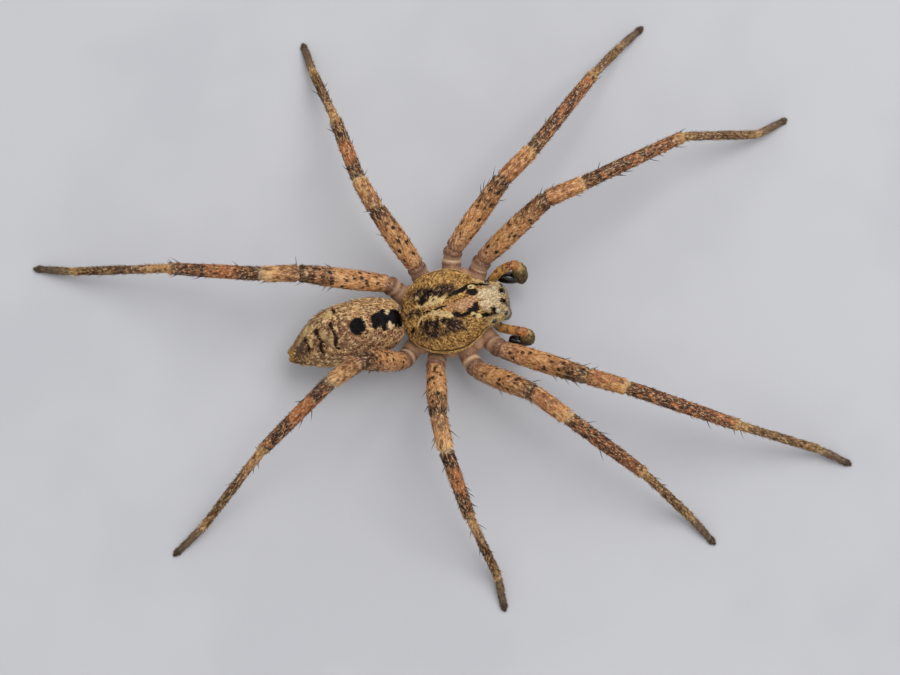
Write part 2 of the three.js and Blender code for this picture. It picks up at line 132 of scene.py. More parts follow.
# %% Sizes of the body
PROSOMA = [
    # y, half width, top, rim height, belly, half width below
    (-4.03, 0.22, 3.06, 2.90, 2.76, 0.16),
    (-3.96, 0.60, 3.26, 2.88, 2.57, 0.46),
    (-3.75, 1.02, 3.60, 2.80, 2.35, 0.80),
    (-3.40, 1.20, 3.90, 2.72, 2.20, 0.90),
    (-2.90, 1.34, 4.10, 2.68, 1.60, 0.70),
    (-2.40, 1.60, 4.20, 2.70, 1.30, 0.62),
    (-1.90, 2.02, 4.24, 2.74, 1.20, 0.72),
    (-1.20, 2.42, 4.22, 2.76, 1.15, 0.92),
    (-0.30, 2.55, 4.15, 2.76, 1.15, 0.98),
    (0.60, 2.40, 3.98, 2.74, 1.15, 0.92),
    (1.15, 2.14, 3.72, 2.72, 1.25, 0.75),
    (1.70, 1.70, 3.36, 2.70, 1.60, 0.55),
    (2.04, 1.22, 3.10, 2.68, 2.00, 0.40),
    (2.26, 0.64, 2.92, 2.64, 2.30, 0.30),
]
ABDOMEN = [
    # y, x and z of the axis, half width, height of the back, depth of the belly
    (2.34, 0.00, 2.84, 0.50, 0.42, 0.38),
    (2.46, 0.00, 2.84, 0.98, 0.86, 0.70),
    (2.80, -0.02, 2.84, 1.36, 1.20, 1.00),
    (3.80, -0.07, 2.85, 1.71, 1.60, 1.32),
    (5.00, -0.13, 2.82, 1.84, 1.72, 1.38),
    (6.20, -0.21, 2.74, 1.80, 1.62, 1.30),
    (7.20, -0.32, 2.62, 1.60, 1.40, 1.12),
    (8.00, -0.46, 2.48, 1.20, 1.08, 0.88),
    (8.45, -0.60, 2.38, 0.94, 0.78, 0.68),
    (8.66, -0.67, 2.34, 0.76, 0.62, 0.56),
]
RIM_DEPTH = 0.22
print("stations:", len(PROSOMA), "along the cephalothorax,", len(ABDOMEN), "along the abdomen")

# %% Sizes and pose of the legs
LENGTHS = {
    # femur, patella, tibia, metatarsus and tarsus of each pair, in mm
    1: (5.9, 2.4, 7.4, 5.5, 2.1),
    2: (5.4, 2.4, 6.4, 4.5, 2.0),
    3: (4.4, 2.1, 4.7, 4.3, 2.0),
    4: (5.9, 2.1, 6.4, 6.3, 2.4),
}
HIPS = {
    # root beside the belly, trochanter, start of the femur
    1: ((1.2, -2.15, 1.6), (2.28, -2.72, 1.92), (2.75, -3.1, 2.35)),
    2: ((1.44, -0.9, 1.6), (3.15, -1.27, 1.92), (3.7, -1.5, 2.35)),
    3: ((1.55, 0.42, 1.56), (2.62, 0.74, 1.8), (3.1, 0.9, 2.35)),
    4: ((1.26, 1.68, 1.6), (2.0, 2.3, 1.92), (2.35, 2.72, 2.35)),
}
POSE = {
    # swing and rise of each segment, in degrees; the tarsus drops to the floor
    "L1": ((-63, -76, -72, -92, -70), (40, -9, -19, -29)),
    "L2": ((-50, -56, -48, -46, -56), (33, 2, -13, -47)),
    "L3": ((27, 19, 9, 12, 8), (33, -5, -22, -30)),
    "L4": ((78, 81, 71, 77, 72), (31, 3, -24, -20)),
    "R1": ((-57, -62, -63, -66, -56), (27, 7, -19, -24)),
    "R2": ((-48, -43, -47, -40, -32), (48, 0, -32, -33)),
    "R3": ((8, -1, -10, -16, -1), (44, 3, -34, -32)),
    "R4": ((82, 69, 60, 52, 58), (66, -17, -31, -30)),
}
CLAW_HEIGHT = 0.05
ELBOW = 0.55
COAT_DEPTH = 0.04


def side_of(name):
    return 1.0 if name.startswith("L") else -1.0


print(len(POSE), "legs; the skin lies", COAT_DEPTH, "mm inside the solids")

# %% [markdown]
# ## Lines that the legs follow
#
# A leg is a chain of straight segments, but its skin turns each joint in a short bend. `route` rounds the
# corners of a chain and keeps, for every point, how far along the leg it lies. The places of the joints
# come with it, because radii, bands and hairs are all counted from them.

# %% Rounded routes
STEPS_OF_A_BEND = 12
LONGEST_CUT = 0.45
HALF_STEP = 0.06


def unit(vectors):
    return vectors / np.maximum(np.linalg.norm(vectors, axis=-1, keepdims=True), 1e-9)


def route(corners, elbow):
    """Points along rounded corners, their distance from the start, and the distance of each joint."""
    corners = [np.array(c, float) for c in corners]
    line = [corners[0]]
    joints = [0.0]
    walked = 0.0
    for before, here, after in zip(corners, corners[1:], corners[2:]):
        to_before, to_after = before - here, after - here
        length_before, length_after = np.linalg.norm(to_before), np.linalg.norm(to_after)
        reach = min(elbow, LONGEST_CUT * length_before, LONGEST_CUT * length_after)
        start = here + to_before * reach / length_before
        end = here + to_after * reach / length_after
        t = np.linspace(0, 1, STEPS_OF_A_BEND)[:, None]
        bend = (1 - t) ** 2 * start + 2 * t * (1 - t) * here + t**2 * end
        walked += np.linalg.norm(start - line[-1])
        bend_length = np.linalg.norm(np.diff(bend, axis=0), axis=1).sum()
        joints.append(walked + bend_length / 2)
        walked += bend_length
        line.extend(bend)
    line.append(corners[-1])
    line = np.array(line)
    steps = np.linalg.norm(np.diff(line, axis=0), axis=1)
    distance = np.concatenate([[0.0], np.cumsum(steps)])
    joints.append(distance[-1])
    return {"line": line, "distance": distance, "joints": joints}


def follow(path, s):
    """Places and directions at the distances s along a route."""

    def at(distance):
        return np.stack([np.interp(distance, path["distance"], axis) for axis in path["line"].T], axis=1)

    behind = np.clip(s - HALF_STEP, 0, path["distance"][-1] - 2 * HALF_STEP)
    return at(s), unit(at(behind + 2 * HALF_STEP) - at(behind))


rounded = route([(0, 0, 0), (2, 0, 0), (2, 2, 0)], 0.5)
print("a right angle with sides of 2 mm, once rounded, is", round(rounded["distance"][-1], 2), "mm long")

# %% The eight legs
ROOT_DEPTH = 0.8


def segment_step(sign, length, turn, lift):
    """From one joint to the next: a segment swung by turn and raised by lift, in radians."""
    flat = length * math.cos(lift)
    return np.array((sign * flat * math.cos(turn), flat * math.sin(turn), length * math.sin(lift)))


def leg_corners(name):
    """The corners of a leg's line; the first lies inside the breast, so that skin joins skin."""
    sign, pair = side_of(name), int(name[1])
    swing, rise = POSE[name]
    root, trochanter, hip = [np.array((sign * x, y, z)) for x, y, z in HIPS[pair]]
    inwards = (root - trochanter) / np.linalg.norm(root - trochanter)
    corners = [root + ROOT_DEPTH * inwards, trochanter, hip]
    for length, turn, lift in zip(LENGTHS[pair], swing, rise):
        corners.append(corners[-1] + segment_step(sign, length, math.radians(turn), math.radians(lift)))
    tarsus = LENGTHS[pair][-1]
    drop = -math.asin((corners[-1][2] - CLAW_HEIGHT) / tarsus)
    corners.append(corners[-1] + segment_step(sign, tarsus, math.radians(swing[-1]), drop))
    return corners


leg_routes = {name: route(leg_corners(name), ELBOW) for name in POSE}
print("leg lengths:", {name: round(path["distance"][-1], 1) for name, path in leg_routes.items()})

# %% [markdown]
# ## How a skin is drawn
#
# Every limb and both halves of the body are closed sleeves: rings of points round a line. In Blender a
# sleeve can start as a plain cylinder whose long edges are subdivided into many rings. A formula then
# moves each ring to its place. The formula gets two shares, `u` along the sleeve and `v` round it, and the
# same formula later tells where each hair grows, so hair and skin can't drift apart.

# %% Sleeves
def sleeve(place, rings, sides):
    """A closed tube with its points at place(u, v)."""
    bm = bmesh.new()
    bmesh.ops.create_cone(bm, cap_ends=True, segments=sides, radius1=1, radius2=1, depth=1)
    long_edges = [e for e in bm.edges if abs(e.verts[0].co.z - e.verts[1].co.z) > 0.5]
    bmesh.ops.subdivide_edges(bm, edges=long_edges, cuts=rings - 2, use_grid_fill=True)
    straight = np.array([v.co for v in bm.verts])
    u = straight[:, 2] + 0.5
    v = (np.arctan2(straight[:, 1], straight[:, 0]) / (2 * math.pi)) % 1.0
    for vert, co in zip(bm.verts, place(u, v)):
        vert.co = co
    if bm.calc_volume(signed=True) < 0:
        bmesh.ops.reverse_faces(bm, faces=bm.faces)
    return bm, u, v


def bell(x, width):
    return np.exp(-((x / width) ** 2))


def smooth_step(x, low, high):
    t = np.clip((x - low) / (high - low), 0, 1)
    return t * t * (3 - 2 * t)


# %% [markdown]
# ## The cephalothorax
#
# Head and breast are one piece on a spider. Its back is an arch that stands on a thin rim, and under the
# rim the sides fall back to a narrow breastplate, so that the eight leg roots find room. The skin adds
# what the CAD leaves plain: the short groove in the middle of the back, faint furrows that run from it to
# the rim, the waisted edge between head and breast, and a low mound round each eye.

# %% Smooth curves through the stations
def station_values(table, y):
    """Each column of a table at the stations y, joined by smooth curves."""
    at = table[:, 0]
    slopes = np.gradient(table, at, axis=0)
    slopes[1:-1] = (table[2:] - table[:-2]) / (at[2:] - at[:-2])[:, None]
    i = np.clip(np.searchsorted(at, y) - 1, 0, len(at) - 2)
    span = (at[i + 1] - at[i])[:, None]
    t = np.clip((y - at[i])[:, None] / span, 0, 1)
    h = 3 * t**2 - 2 * t**3
    bow = slopes[i] * (t - 2 * t**2 + t**3) + slopes[i + 1] * (t**3 - t**2)
    return (table[i] * (1 - h) + table[i + 1] * h + bow * span).T


def crowd_ends(u, share=0.55):
    return u + share * (0.5 - 0.5 * np.cos(math.pi * u) - u)


def segment_distance(x, y, start, end):
    """How far points lie from a straight line between two points."""
    (ax, ay), (bx, by) = start, end
    t = np.clip(((x - ax) * (bx - ax) + (y - ay) * (by - ay)) / ((bx - ax) ** 2 + (by - ay) ** 2), 0, 1)
    return np.hypot(x - ax - t * (bx - ax), y - ay - t * (by - ay))


PROSOMA_TABLE = np.array(PROSOMA)
halfway = station_values(PROSOMA_TABLE, np.array([0.0]))
print("the back is", round(2 * halfway[1, 0], 2), "mm wide and", round(halfway[2, 0], 2), "mm high at y = 0")

# %% The cephalothorax's plain form
UNDER_SHARES = np.array([0.0, 0.05, 0.20, 0.33, 0.43, 0.5, 0.57, 0.67, 0.80, 0.95, 1.0])
ARCH_ACROSS, ARCH_UP = 0.9, 0.95
FOOT_WIDTH, SIDE_OUT, SIDE_MOST, SIDE_DROP = 0.985, 0.12, 0.94, 0.04
PLATE_EDGE_HEIGHT, PLATE_WIDTH, PLATE_BOW = 0.4, 0.72, 0.06


def bare_prosoma(u, v):
    """The plain form: v runs over the back from the left rim to the right, then under the belly.

    Below, points stand at the rim, at its foot, at the soft side, and at the breastplate's edge, slope and
    middle, and then the same back to the other rim.
    """
    y = PROSOMA_TABLE[0, 0] + (PROSOMA_TABLE[-1, 0] - PROSOMA_TABLE[0, 0]) * crowd_ends(u)
    _, half, top, rim, belly, waist = station_values(PROSOMA_TABLE, y)
    half, top = half - COAT_DEPTH, top - COAT_DEPTH
    a = np.clip(v, 0, 0.5) * 2 * math.pi
    x = half * np.sign(np.cos(a)) * np.abs(np.cos(a)) ** ARCH_ACROSS
    z = rim + (top - rim) * np.abs(np.sin(a)) ** ARCH_UP
    foot = rim - RIM_DEPTH
    side = np.minimum(waist + SIDE_OUT, half * SIDE_MOST)
    plate_edge = belly + (foot - belly) * PLATE_EDGE_HEIGHT
    across = [-half, -half * FOOT_WIDTH, -side, -waist, -waist * PLATE_WIDTH, 0 * half]
    height = [rim, foot, foot - SIDE_DROP, plate_edge, belly + PLATE_BOW, belly]
    across = np.array(across + [-k for k in across[-2::-1]])
    height = np.array(height + height[-2::-1])
    w = np.clip((v - 0.5) * 2, 0, 1)
    k = np.clip(np.searchsorted(UNDER_SHARES, w) - 1, 0, len(UNDER_SHARES) - 2)
    t = (w - UNDER_SHARES[k]) / (UNDER_SHARES[k + 1] - UNDER_SHARES[k])
    column = np.arange(len(y))
    below = v > 0.5
    x = np.where(below, across[k, column] * (1 - t) + across[k + 1, column] * t, x)
    z = np.where(below, height[k, column] * (1 - t) + height[k + 1, column] * t, z)
    return np.stack([x, y, z], axis=1)


print("lines from rim to rim under the body:", len(UNDER_SHARES))

# %% [markdown]
# Eight eyes sit in two rows on the front of the head. Their places are read off the CAD nodes, so each
# fine glassy ball replaces its faceted stand-in exactly, and the skin rises a little round it.

# %% Places of the eyes
eyes = {}
for name in frame["nodes"]:
    if name.startswith("eye_"):
        low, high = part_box(name)
        centre = np.array((low + high) / 2) / MM - SHIFT
        eyes[name] = (centre, (high.z - low.z) / 2 / MM)
print(len(eyes), "eyes, radii", sorted({round(r, 2) for _, r in eyes.values()}))

# %% Groove, furrows, neck and eye mounds
GROOVE = ((0.15, -0.30), (0.10, 1.05))
GROOVE_DEPTH, GROOVE_WIDTH = 0.16, 0.09
FURROW_ANGLES = (20, 62, 104, 146)
FURROW_MIDDLE, GROOVE_ASIDE = 0.35, 0.1
FURROW_INNER, FURROW_OUTER = (0.45, 0.6), (2.0, 1.9)
FURROW_DEPTH, FURROW_WIDTH = 0.02, 0.13
NECK_INNER, NECK_OUTER = (0.35, -0.7), (1.75, -2.0)
NECK_DEPTH, NECK_WIDTH = 0.07, 0.2
MOUND_HEIGHT, MOUND_WIDTH, MOUND_FROM = 0.07, 0.09, 0.8
BACK_BEGINS, BACK_IN_FULL = 2.75, 3.1


def prosoma_place(u, v):
    points = bare_prosoma(u, v)
    x, y, z = points.T
    groove = GROOVE_DEPTH * bell(segment_distance(x, y, *GROOVE), GROOVE_WIDTH)
    furrows, neck = np.zeros_like(x), np.zeros_like(x)
    for sign in (-1, 1):
        for angle in FURROW_ANGLES:
            aside, ahead = sign * math.sin(math.radians(angle)), math.cos(math.radians(angle))
            start = (FURROW_INNER[0] * aside + GROOVE_ASIDE, FURROW_MIDDLE - FURROW_INNER[1] * ahead)
            end = (FURROW_OUTER[0] * aside, FURROW_MIDDLE - FURROW_OUTER[1] * ahead)
            furrows = np.maximum(furrows, bell(segment_distance(x, y, start, end), FURROW_WIDTH))
        inner, outer = (sign * NECK_INNER[0], NECK_INNER[1]), (sign * NECK_OUTER[0], NECK_OUTER[1])
        neck = np.maximum(neck, bell(segment_distance(x, y, inner, outer), NECK_WIDTH))
    above = smooth_step(z, BACK_BEGINS, BACK_IN_FULL)
    z = z - above * (groove + FURROW_DEPTH * furrows + NECK_DEPTH * neck)
    points = np.stack([x, y, z], axis=1)
    for centre, radius in eyes.values():
        away = points - centre
        distance = np.linalg.norm(away, axis=1)
        lift = MOUND_HEIGHT * bell(distance - radius, MOUND_WIDTH) * (distance > radius * MOUND_FROM)
        points = points + away / distance[:, None] * lift[:, None]
    return points


middle = prosoma_place(np.array([0.5, 0.5]), np.array([0.25, 0.75]))
print("body at its middle, from the back to the breastplate:", round(middle[0, 2] - middle[1, 2], 2), "mm")

# %% [markdown]
# ## The abdomen
#
# The abdomen is soft and rests a little to the right, as in the photo. Its skin is an egg with a slightly
# wrinkled back, drawn out at the tail into the short ring that carries the spinnerets, and joined to the
# breast by a narrow stalk.

# %% The abdomen's skin
TAIL_RING = [(8.90, -0.73, 2.31, 0.57, 0.47, 0.44), (9.08, -0.76, 2.30, 0.44, 0.36, 0.34)]
ABDOMEN_TABLE = np.array(ABDOMEN + TAIL_RING)
WRINKLE, PLEAT = 0.022, 0.6
WRINKLES_ALONG, PLEATS_ROUND = 5.2, 9


def abdomen_place(u, v):
    start, end = ABDOMEN_TABLE[0, 0], ABDOMEN_TABLE[-1, 0]
    y = start + (end - start) * crowd_ends(u)
    _, x, z, half, up, down = station_values(ABDOMEN_TABLE, y)
    a = 2 * math.pi * v
    height = np.where(np.sin(a) > 0, up, down)
    wrinkle = WRINKLE * np.sin(WRINKLES_ALONG * y + 2.2 * np.cos(2 * a))
    wrinkle = wrinkle * smooth_step(y, 3.0, 5.0) * np.abs(np.sin(a))
    pleats = PLEAT * WRINKLE * np.sin(PLEATS_ROUND * a + 1.7 * y)
    wrinkle += pleats * smooth_step(y, 2.8, 4.2) * smooth_step(-y, -8.6, -7.5)
    inset = np.minimum(COAT_DEPTH, half * 0.1)
    across = (half - inset + wrinkle) * np.cos(a)
    return np.stack([x + across, y, z + (height - inset + wrinkle) * np.sin(a)], axis=1)


abdomen_length = ABDOMEN_TABLE[-1, 0] - ABDOMEN_TABLE[0, 0]
print("abdomen", round(abdomen_length, 2), "mm long")

# %% Stalk and spinnerets
ROUNDED_MOST = 0.93


def straight_place(start, end, radius_start, radius_end, rounding=0.0):
    """The place function of a straight peg, rounded off at its end."""
    start, end = np.array(start, float), np.array(end, float)
    along = (end - start) / np.linalg.norm(end - start)
    side = np.cross(along, (0, 0, 1.0))
    side /= np.linalg.norm(side)
    over = np.cross(side, along)

    def place(u, v):
        a = 2 * math.pi * v
        r = radius_start + (radius_end - radius_start) * u
        if rounding:
            r = r * np.sqrt(1 - np.clip((u - 1 + rounding) / rounding, 0, ROUNDED_MOST) ** 2)
        spoke = side * np.cos(a)[:, None] + over * np.sin(a)[:, None]
        return start + (end - start) * u[:, None] + spoke * r[:, None]

    return place


SPINNERETS = {
    # start, end, radius at the root and at the tip
    "front_L": ((-0.56, 8.88, 2.14), (-0.53, 9.27, 2.10), 0.20, 0.15),
    "front_R": ((-0.92, 8.88, 2.14), (-0.98, 9.26, 2.10), 0.20, 0.15),
    "rear_L": ((-0.57, 8.90, 2.44), (-0.55, 9.20, 2.47), 0.17, 0.13),
    "rear_R": ((-0.91, 8.90, 2.44), (-0.96, 9.19, 2.47), 0.17, 0.13),
    "tubercle": ((-0.74, 8.90, 2.48), (-0.75, 9.16, 2.58), 0.18, 0.13),
}
STALK = ((0.0, 1.80, 2.50), (0.0, 2.85, 2.70), 0.24, 0.34)
print(len(SPINNERETS), "pegs at the tail")

# %% [markdown]
# ## Legs
#
# A leg's outline tells its segments apart: a stout femur, a short patella that ends in a knob, and thinner
# pieces from there to the claws. Each segment is drawn in at its joints, where soft skin lets the real one
# bend, and swells in a slight lip just before them. The foot is cut level with the floor.

# %% Radii along a leg
RADII = {
    # radius at the start and end of each stretch, and how much it swells between
    "coxa": (0.54, 0.55, 0.02),
    "femur": (0.50, 0.47, 0.10),
    "patella": (0.47, 0.44, 0.02),
    "tibia": (0.40, 0.34, 0.02),
    "metatarsus": (0.26, 0.22, 0.0),
    "tarsus": (0.21, 0.14, 0.02),
}
JOINT_PINCH, JOINT_WIDTH = 0.20, 0.10
LIP_HEIGHT, LIP_WIDTH, LIP_SETBACK = 0.05, 0.14, 0.24
TROCHANTER_SETBACK, TROCHANTER_PINCH = 0.62, 0.5
TOE_LENGTH, TOE_CUT = 0.32, 0.94
STEP_BLUR = 0.05
RING_STEP, JOINT_REACH, TROCHANTER_REACH = 0.15, 0.34, 0.2
CLOSEST_RINGS = 0.012


def leg_stations(name):
    """Distances of the leg's joints: root, hip, knee, knob, ankle, heel and claw."""
    _, _, hip, knee, knob, ankle, heel, claw = leg_routes[name]["joints"]
    return np.array([ROOT_DEPTH, hip, knee, knob, ankle, heel, claw])


def leg_radius(name, s):
    stations = leg_stations(name)
    k = np.clip(np.searchsorted(stations, s) - 1, 0, len(stations) - 2)
    t = np.clip((s - stations[k]) / (stations[k + 1] - stations[k]), 0, 1)
    sizes = np.array(list(RADII.values()))
    radius = sizes[k, 0] * (1 - t) + sizes[k, 1] * t + sizes[k, 2] * np.sin(math.pi * t)
    for j, joint in enumerate(stations[1:-1]):
        step = sizes[j + 1, 0] - sizes[j, 1]
        radius += step * (smooth_step(s, joint - STEP_BLUR, joint + STEP_BLUR) - (s > joint))
        radius *= 1 - JOINT_PINCH * bell(s - joint, JOINT_WIDTH)
        radius *= 1 + LIP_HEIGHT * bell(s - joint + LIP_SETBACK, LIP_WIDTH)
    radius *= 1 - TROCHANTER_PINCH * JOINT_PINCH * bell(s - stations[1] + TROCHANTER_SETBACK, JOINT_WIDTH)
    toe = np.clip((s - stations[-1] + TOE_LENGTH) / TOE_LENGTH, 0, TOE_CUT)
    return radius * np.sqrt(1 - toe**2)


def ring_spacing(name):
    """Distances of the rings: close together at the joints and at the toe, wider between."""
    stations = leg_stations(name)
    spots = [np.arange(0, stations[-1], RING_STEP)]
    spots += [joint + np.linspace(-JOINT_REACH, JOINT_REACH, 15) for joint in stations[1:-1]]
    spots += [stations[1] - TROCHANTER_SETBACK + np.linspace(-TROCHANTER_REACH, TROCHANTER_REACH, 9)]
    spots += [stations[-1] - np.linspace(0, TOE_LENGTH, 9)]
    spots = np.unique(np.concatenate(spots).clip(0, stations[-1]).round(3))
    return spots[np.concatenate([[True], np.diff(spots) > CLOSEST_RINGS])]


print("rings along the legs:", {name: len(ring_spacing(name)) for name in POSE})


# %% Tubes round a line
def tube_points(path, s, v, radius, reference):
    place, along = follow(path, s)
    across = unit(np.cross(along, reference))
    over = np.cross(across, along)
    a = 2 * math.pi * v
    return place + radius[:, None] * (across * np.cos(a)[:, None] + over * np.sin(a)[:, None])


def leg_place(name):
    spots = ring_spacing(name)

    def distance_at(u):
        return np.interp(u, np.linspace(0, 1, len(spots)), spots)

    def place(u, v):
        s = distance_at(u)
        points = tube_points(leg_routes[name], s, v, leg_radius(name, s), (0, 0, 1.0))
        points[:, 2] = np.maximum(points[:, 2], 0.0)
        return points

    return place, distance_at, len(spots)


# %% [markdown]
# ## Palps and jaws
#
# The two palps are short legs beside the head. On a male each ends in a swollen, hairy tip with a dark
# bulb folded under it, which is the surest sign of his sex. The jaws hang under the front of the head.

# %% Palps
PALPS = {
    "L": {
        "path": (
            (0.7, -2.9, 2.0), (1.42, -3.3, 1.85), (1.75, -3.8, 2.6),
            (1.92, -4.55, 3.15), (1.9, -5.0, 2.95), (1.1, -5.15, 1.5),
        ),
        "bulb": ((1.30, -5.05, 1.86), (1.56, -3.72, 2.02)),
    },
    "R": {
        "path": (
            (-0.7, -2.9, 2.0), (-1.42, -3.3, 1.85), (-1.72, -3.75, 2.6),
            (-2.0, -4.3, 3.1), (-2.16, -4.7, 2.9), (-2.5, -4.82, 1.5),
        ),
        "bulb": ((-2.58, -4.76, 1.86), (-2.22, -3.66, 1.96)),
    },
}
PALP_ELBOW = 0.25
PALP_RADIUS, PALP_PINCH, PALP_JOINT = 0.27, 0.18, 0.07
CYMBIUM_RADIUS, CYMBIUM_NECK, CYMBIUM_SWELL = 0.40, 0.66, 1.40
PALP_BLUR = 0.06
palp_routes = {side: route(palp["path"], PALP_ELBOW) for side, palp in PALPS.items()}


def palp_radius(side, s):
    joints = palp_routes[side]["joints"]
    knee, end = joints[4], joints[5]
    t = np.clip((s - knee) / (end - knee), 0, 1)
    tip = CYMBIUM_RADIUS * (CYMBIUM_NECK + CYMBIUM_SWELL * t * (1 - t)) * np.sqrt(1.03 - t**6)
    blend = smooth_step(s, knee - PALP_BLUR, knee + PALP_BLUR)
    radius = PALP_RADIUS * (1 - blend) + tip * blend
    for joint in (joints[2], joints[3], knee):
        radius = radius * (1 - PALP_PINCH * bell(s - joint, PALP_JOINT))
    return radius


def palp_place(side):
    path = palp_routes[side]

    def place(u, v):
        s = u * path["distance"][-1]
        return tube_points(path, s, v, palp_radius(side, s), (1.0, 0, 0))

    return place


print("palps", {side: round(path["distance"][-1], 1) for side, path in palp_routes.items()}, "mm long")

# %% Jaws and bulbs
JAW_PATH = ((0.50, -3.35, 2.62), (0.56, -3.80, 1.5), (0.52, -3.79, 0.82))
JAW_RADIUS = 0.44
JAW_END, JAW_END_LENGTH, JAW_END_CUT = 0.88, 0.12, 0.9
JAW_ROOT, JAW_SWELL, JAW_TAPER = 0.90, 0.5, 0.26
BULB_RADIUS, BULB_ENDS, BULB_FULLNESS = 0.38, 0.12, 0.7
DUCT_HEIGHT, DUCT_TURNS = 0.05, 7


def jaw_place(sign):
    path = route([(sign * x, y, z) for x, y, z in JAW_PATH], JAW_RADIUS)

    def place(u, v):
        radius = JAW_RADIUS * (JAW_ROOT + JAW_SWELL * u * (1 - u) - JAW_TAPER * u * u)
        radius = radius * np.sqrt(1 - np.clip((u - JAW_END) / JAW_END_LENGTH, 0, JAW_END_CUT) ** 2)
        return tube_points(path, u * path["distance"][-1], v, radius, (1.0, 0, 0))

    return place


def bulb_place(side):
    """An egg from the palp's tip towards the head, ringed like the sperm duct that shows through it."""
    front, rear = [np.array(end) for end in PALPS[side]["bulb"]]
    middle, half = (front + rear) / 2, np.linalg.norm(rear - front) / 2
    over = (rear - front) / (2 * half)
    across = unit(np.cross(over, (0, 0, 1.0)))
    above = np.cross(across, over)

    def place(u, v):
        polar = BULB_ENDS + (math.pi - 2 * BULB_ENDS) * u
        a = 2 * math.pi * v
        ripple = 1 + DUCT_HEIGHT * np.sin(2 * a + DUCT_TURNS * u)
        flat = BULB_RADIUS * np.sin(polar) ** BULB_FULLNESS * ripple
        spoke = across * (flat * np.cos(a))[:, None] + above * (flat * np.sin(a))[:, None]
        return middle + spoke - over * (half * np.cos(polar))[:, None]

    return place


print("jaws are", 2 * JAW_RADIUS, "mm thick at the root, bulbs", 2 * BULB_RADIUS, "mm")

# %% [markdown]
# ## One skin
#
# A spider's skin runs on from piece to piece, soft where it has to bend. So the sleeves overlap a little
# where they meet, rounded webs of soft skin fill the gaps between the coxae, and a union of them all leaves
# one closed surface with no seam inside it. Two sets of facts are written on its points for the materials:
# `place`, in millimetres, says where on the animal a point lies, with the legs laid out straight, and
# `band` counts along a limb, whole numbers at its joints. New points on the lines of union take both from
# their nearest neighbour.

# %% Place and band of every point
BAND_BELOW = 1.2
PLEURA_BAND = 0.2
PATTERNS_APART = 40.0


def body_mark(u, v, points):
    """Body zones: the marks follow the body itself; band is 0 on the back's ridge and 1 at the rim."""
    return points, np.where(v < 0.5, np.abs(np.cos(2 * math.pi * v)), BAND_BELOW)


def leg_mark(name, distance_at):
    """A leg laid out straight, each far from the next, so that no two share a pattern."""
    stations = leg_stations(name)
    offset = PATTERNS_APART * (1 + list(POSE).index(name))

    def mark(u, v, points):
        s = distance_at(u)
        k = np.clip(np.searchsorted(stations, s) - 1, 0, len(stations) - 2)
        band = k + np.clip((s - stations[k]) / (stations[k + 1] - stations[k]), -0.5, 1)
        a = 2 * math.pi * v
        radius = leg_radius(name, s)
        return np.stack([s + offset, radius * np.cos(a), radius * np.sin(a)], axis=1), band

    return mark


def pleura_mark(u, v, points):
    """Soft skin between two coxae; it takes the colours of a coxa's root."""
    return points, np.full(len(points), PLEURA_BAND)


def palp_mark(side):
    joints = np.array(palp_routes[side]["joints"])

    def mark(u, v, points):
        s = u * joints[-1]
        k = np.clip(np.searchsorted(joints, s) - 1, 0, len(joints) - 2)
        return points, k + np.clip((s - joints[k]) / (joints[k + 1] - joints[k]), 0, 1)

    return mark


# %% Zones of the skin
LEG_SIDES = 22
PLEURAE = {
    # soft skin under the rim between neighbouring coxae: start, end, radii
    "12": ((1.3, -1.45, 1.95), (2.46, -1.94, 1.98), 0.5, 0.50),
    "23": ((1.6, -0.2, 1.95), (2.64, -0.21, 1.98), 0.6, 0.50),
    "34": ((1.3, 1.2, 1.95), (2.05, 1.53, 1.98), 0.5, 0.42),
}
CARAPACE_SKIN, ABDOMEN_SKIN, FRONT_LEG_SKIN, REAR_LEG_SKIN, PALP_SKIN, JAW_SKIN, BULB_SKIN = range(7)
zones = {}


def add_zone(name, place, rings, sides, skin, mark):
    zones[name] = {"place": place, "rings": rings, "sides": sides, "skin": skin, "mark": mark}


add_zone("prosoma", prosoma_place, 110, 140, CARAPACE_SKIN, body_mark)
add_zone("abdomen", abdomen_place, 100, 90, ABDOMEN_SKIN, body_mark)
add_zone("stalk", straight_place(*STALK), 10, 24, ABDOMEN_SKIN, body_mark)
for name, peg in SPINNERETS.items():
    add_zone("spinneret_" + name, straight_place(*peg, rounding=0.35), 12, 14, ABDOMEN_SKIN, body_mark)
for name in POSE:
    place, distance_at, rings = leg_place(name)
    leg_skin = FRONT_LEG_SKIN if name[1] in "12" else REAR_LEG_SKIN
    add_zone("leg_" + name, place, rings, LEG_SIDES, leg_skin, leg_mark(name, distance_at))
for side, sign in (("L", 1), ("R", -1)):
    for gap, (start, end, *radii) in PLEURAE.items():
        peg = straight_place((sign * start[0], *start[1:]), (sign * end[0], *end[1:]), *radii, rounding=0.5)
        add_zone(f"pleura_{gap}_{side}", peg, 14, 20, FRONT_LEG_SKIN, pleura_mark)
    add_zone("palp_" + side, palp_place(side), 56, 20, PALP_SKIN, palp_mark(side))
    add_zone("bulb_" + side, bulb_place(side), 20, 22, BULB_SKIN, body_mark)
    add_zone("jaw_" + side, jaw_place(sign), 26, 22, JAW_SKIN, body_mark)
print(len(zones), "zones")


# %% Mesh objects
def new_object(name, bm):
    mesh = bpy.data.meshes.new(name)
    bm.to_mesh(mesh)
    bm.free()
    piece = bpy.data.objects.new(name, mesh)
    bpy.context.scene.collection.objects.link(piece)
    mesh.shade_smooth()
    return piece


def to_metres(bm):
    for vert in bm.verts:
        vert.co = to_scene(vert.co)


def set_attribute(mesh, name, kind, values):
    attribute = mesh.attributes.new(name, kind, "POINT")
    field = "vector" if kind == "FLOAT_VECTOR" else "value"
    attribute.data.foreach_set(field, np.ascontiguousarray(values, dtype=np.float32).ravel())


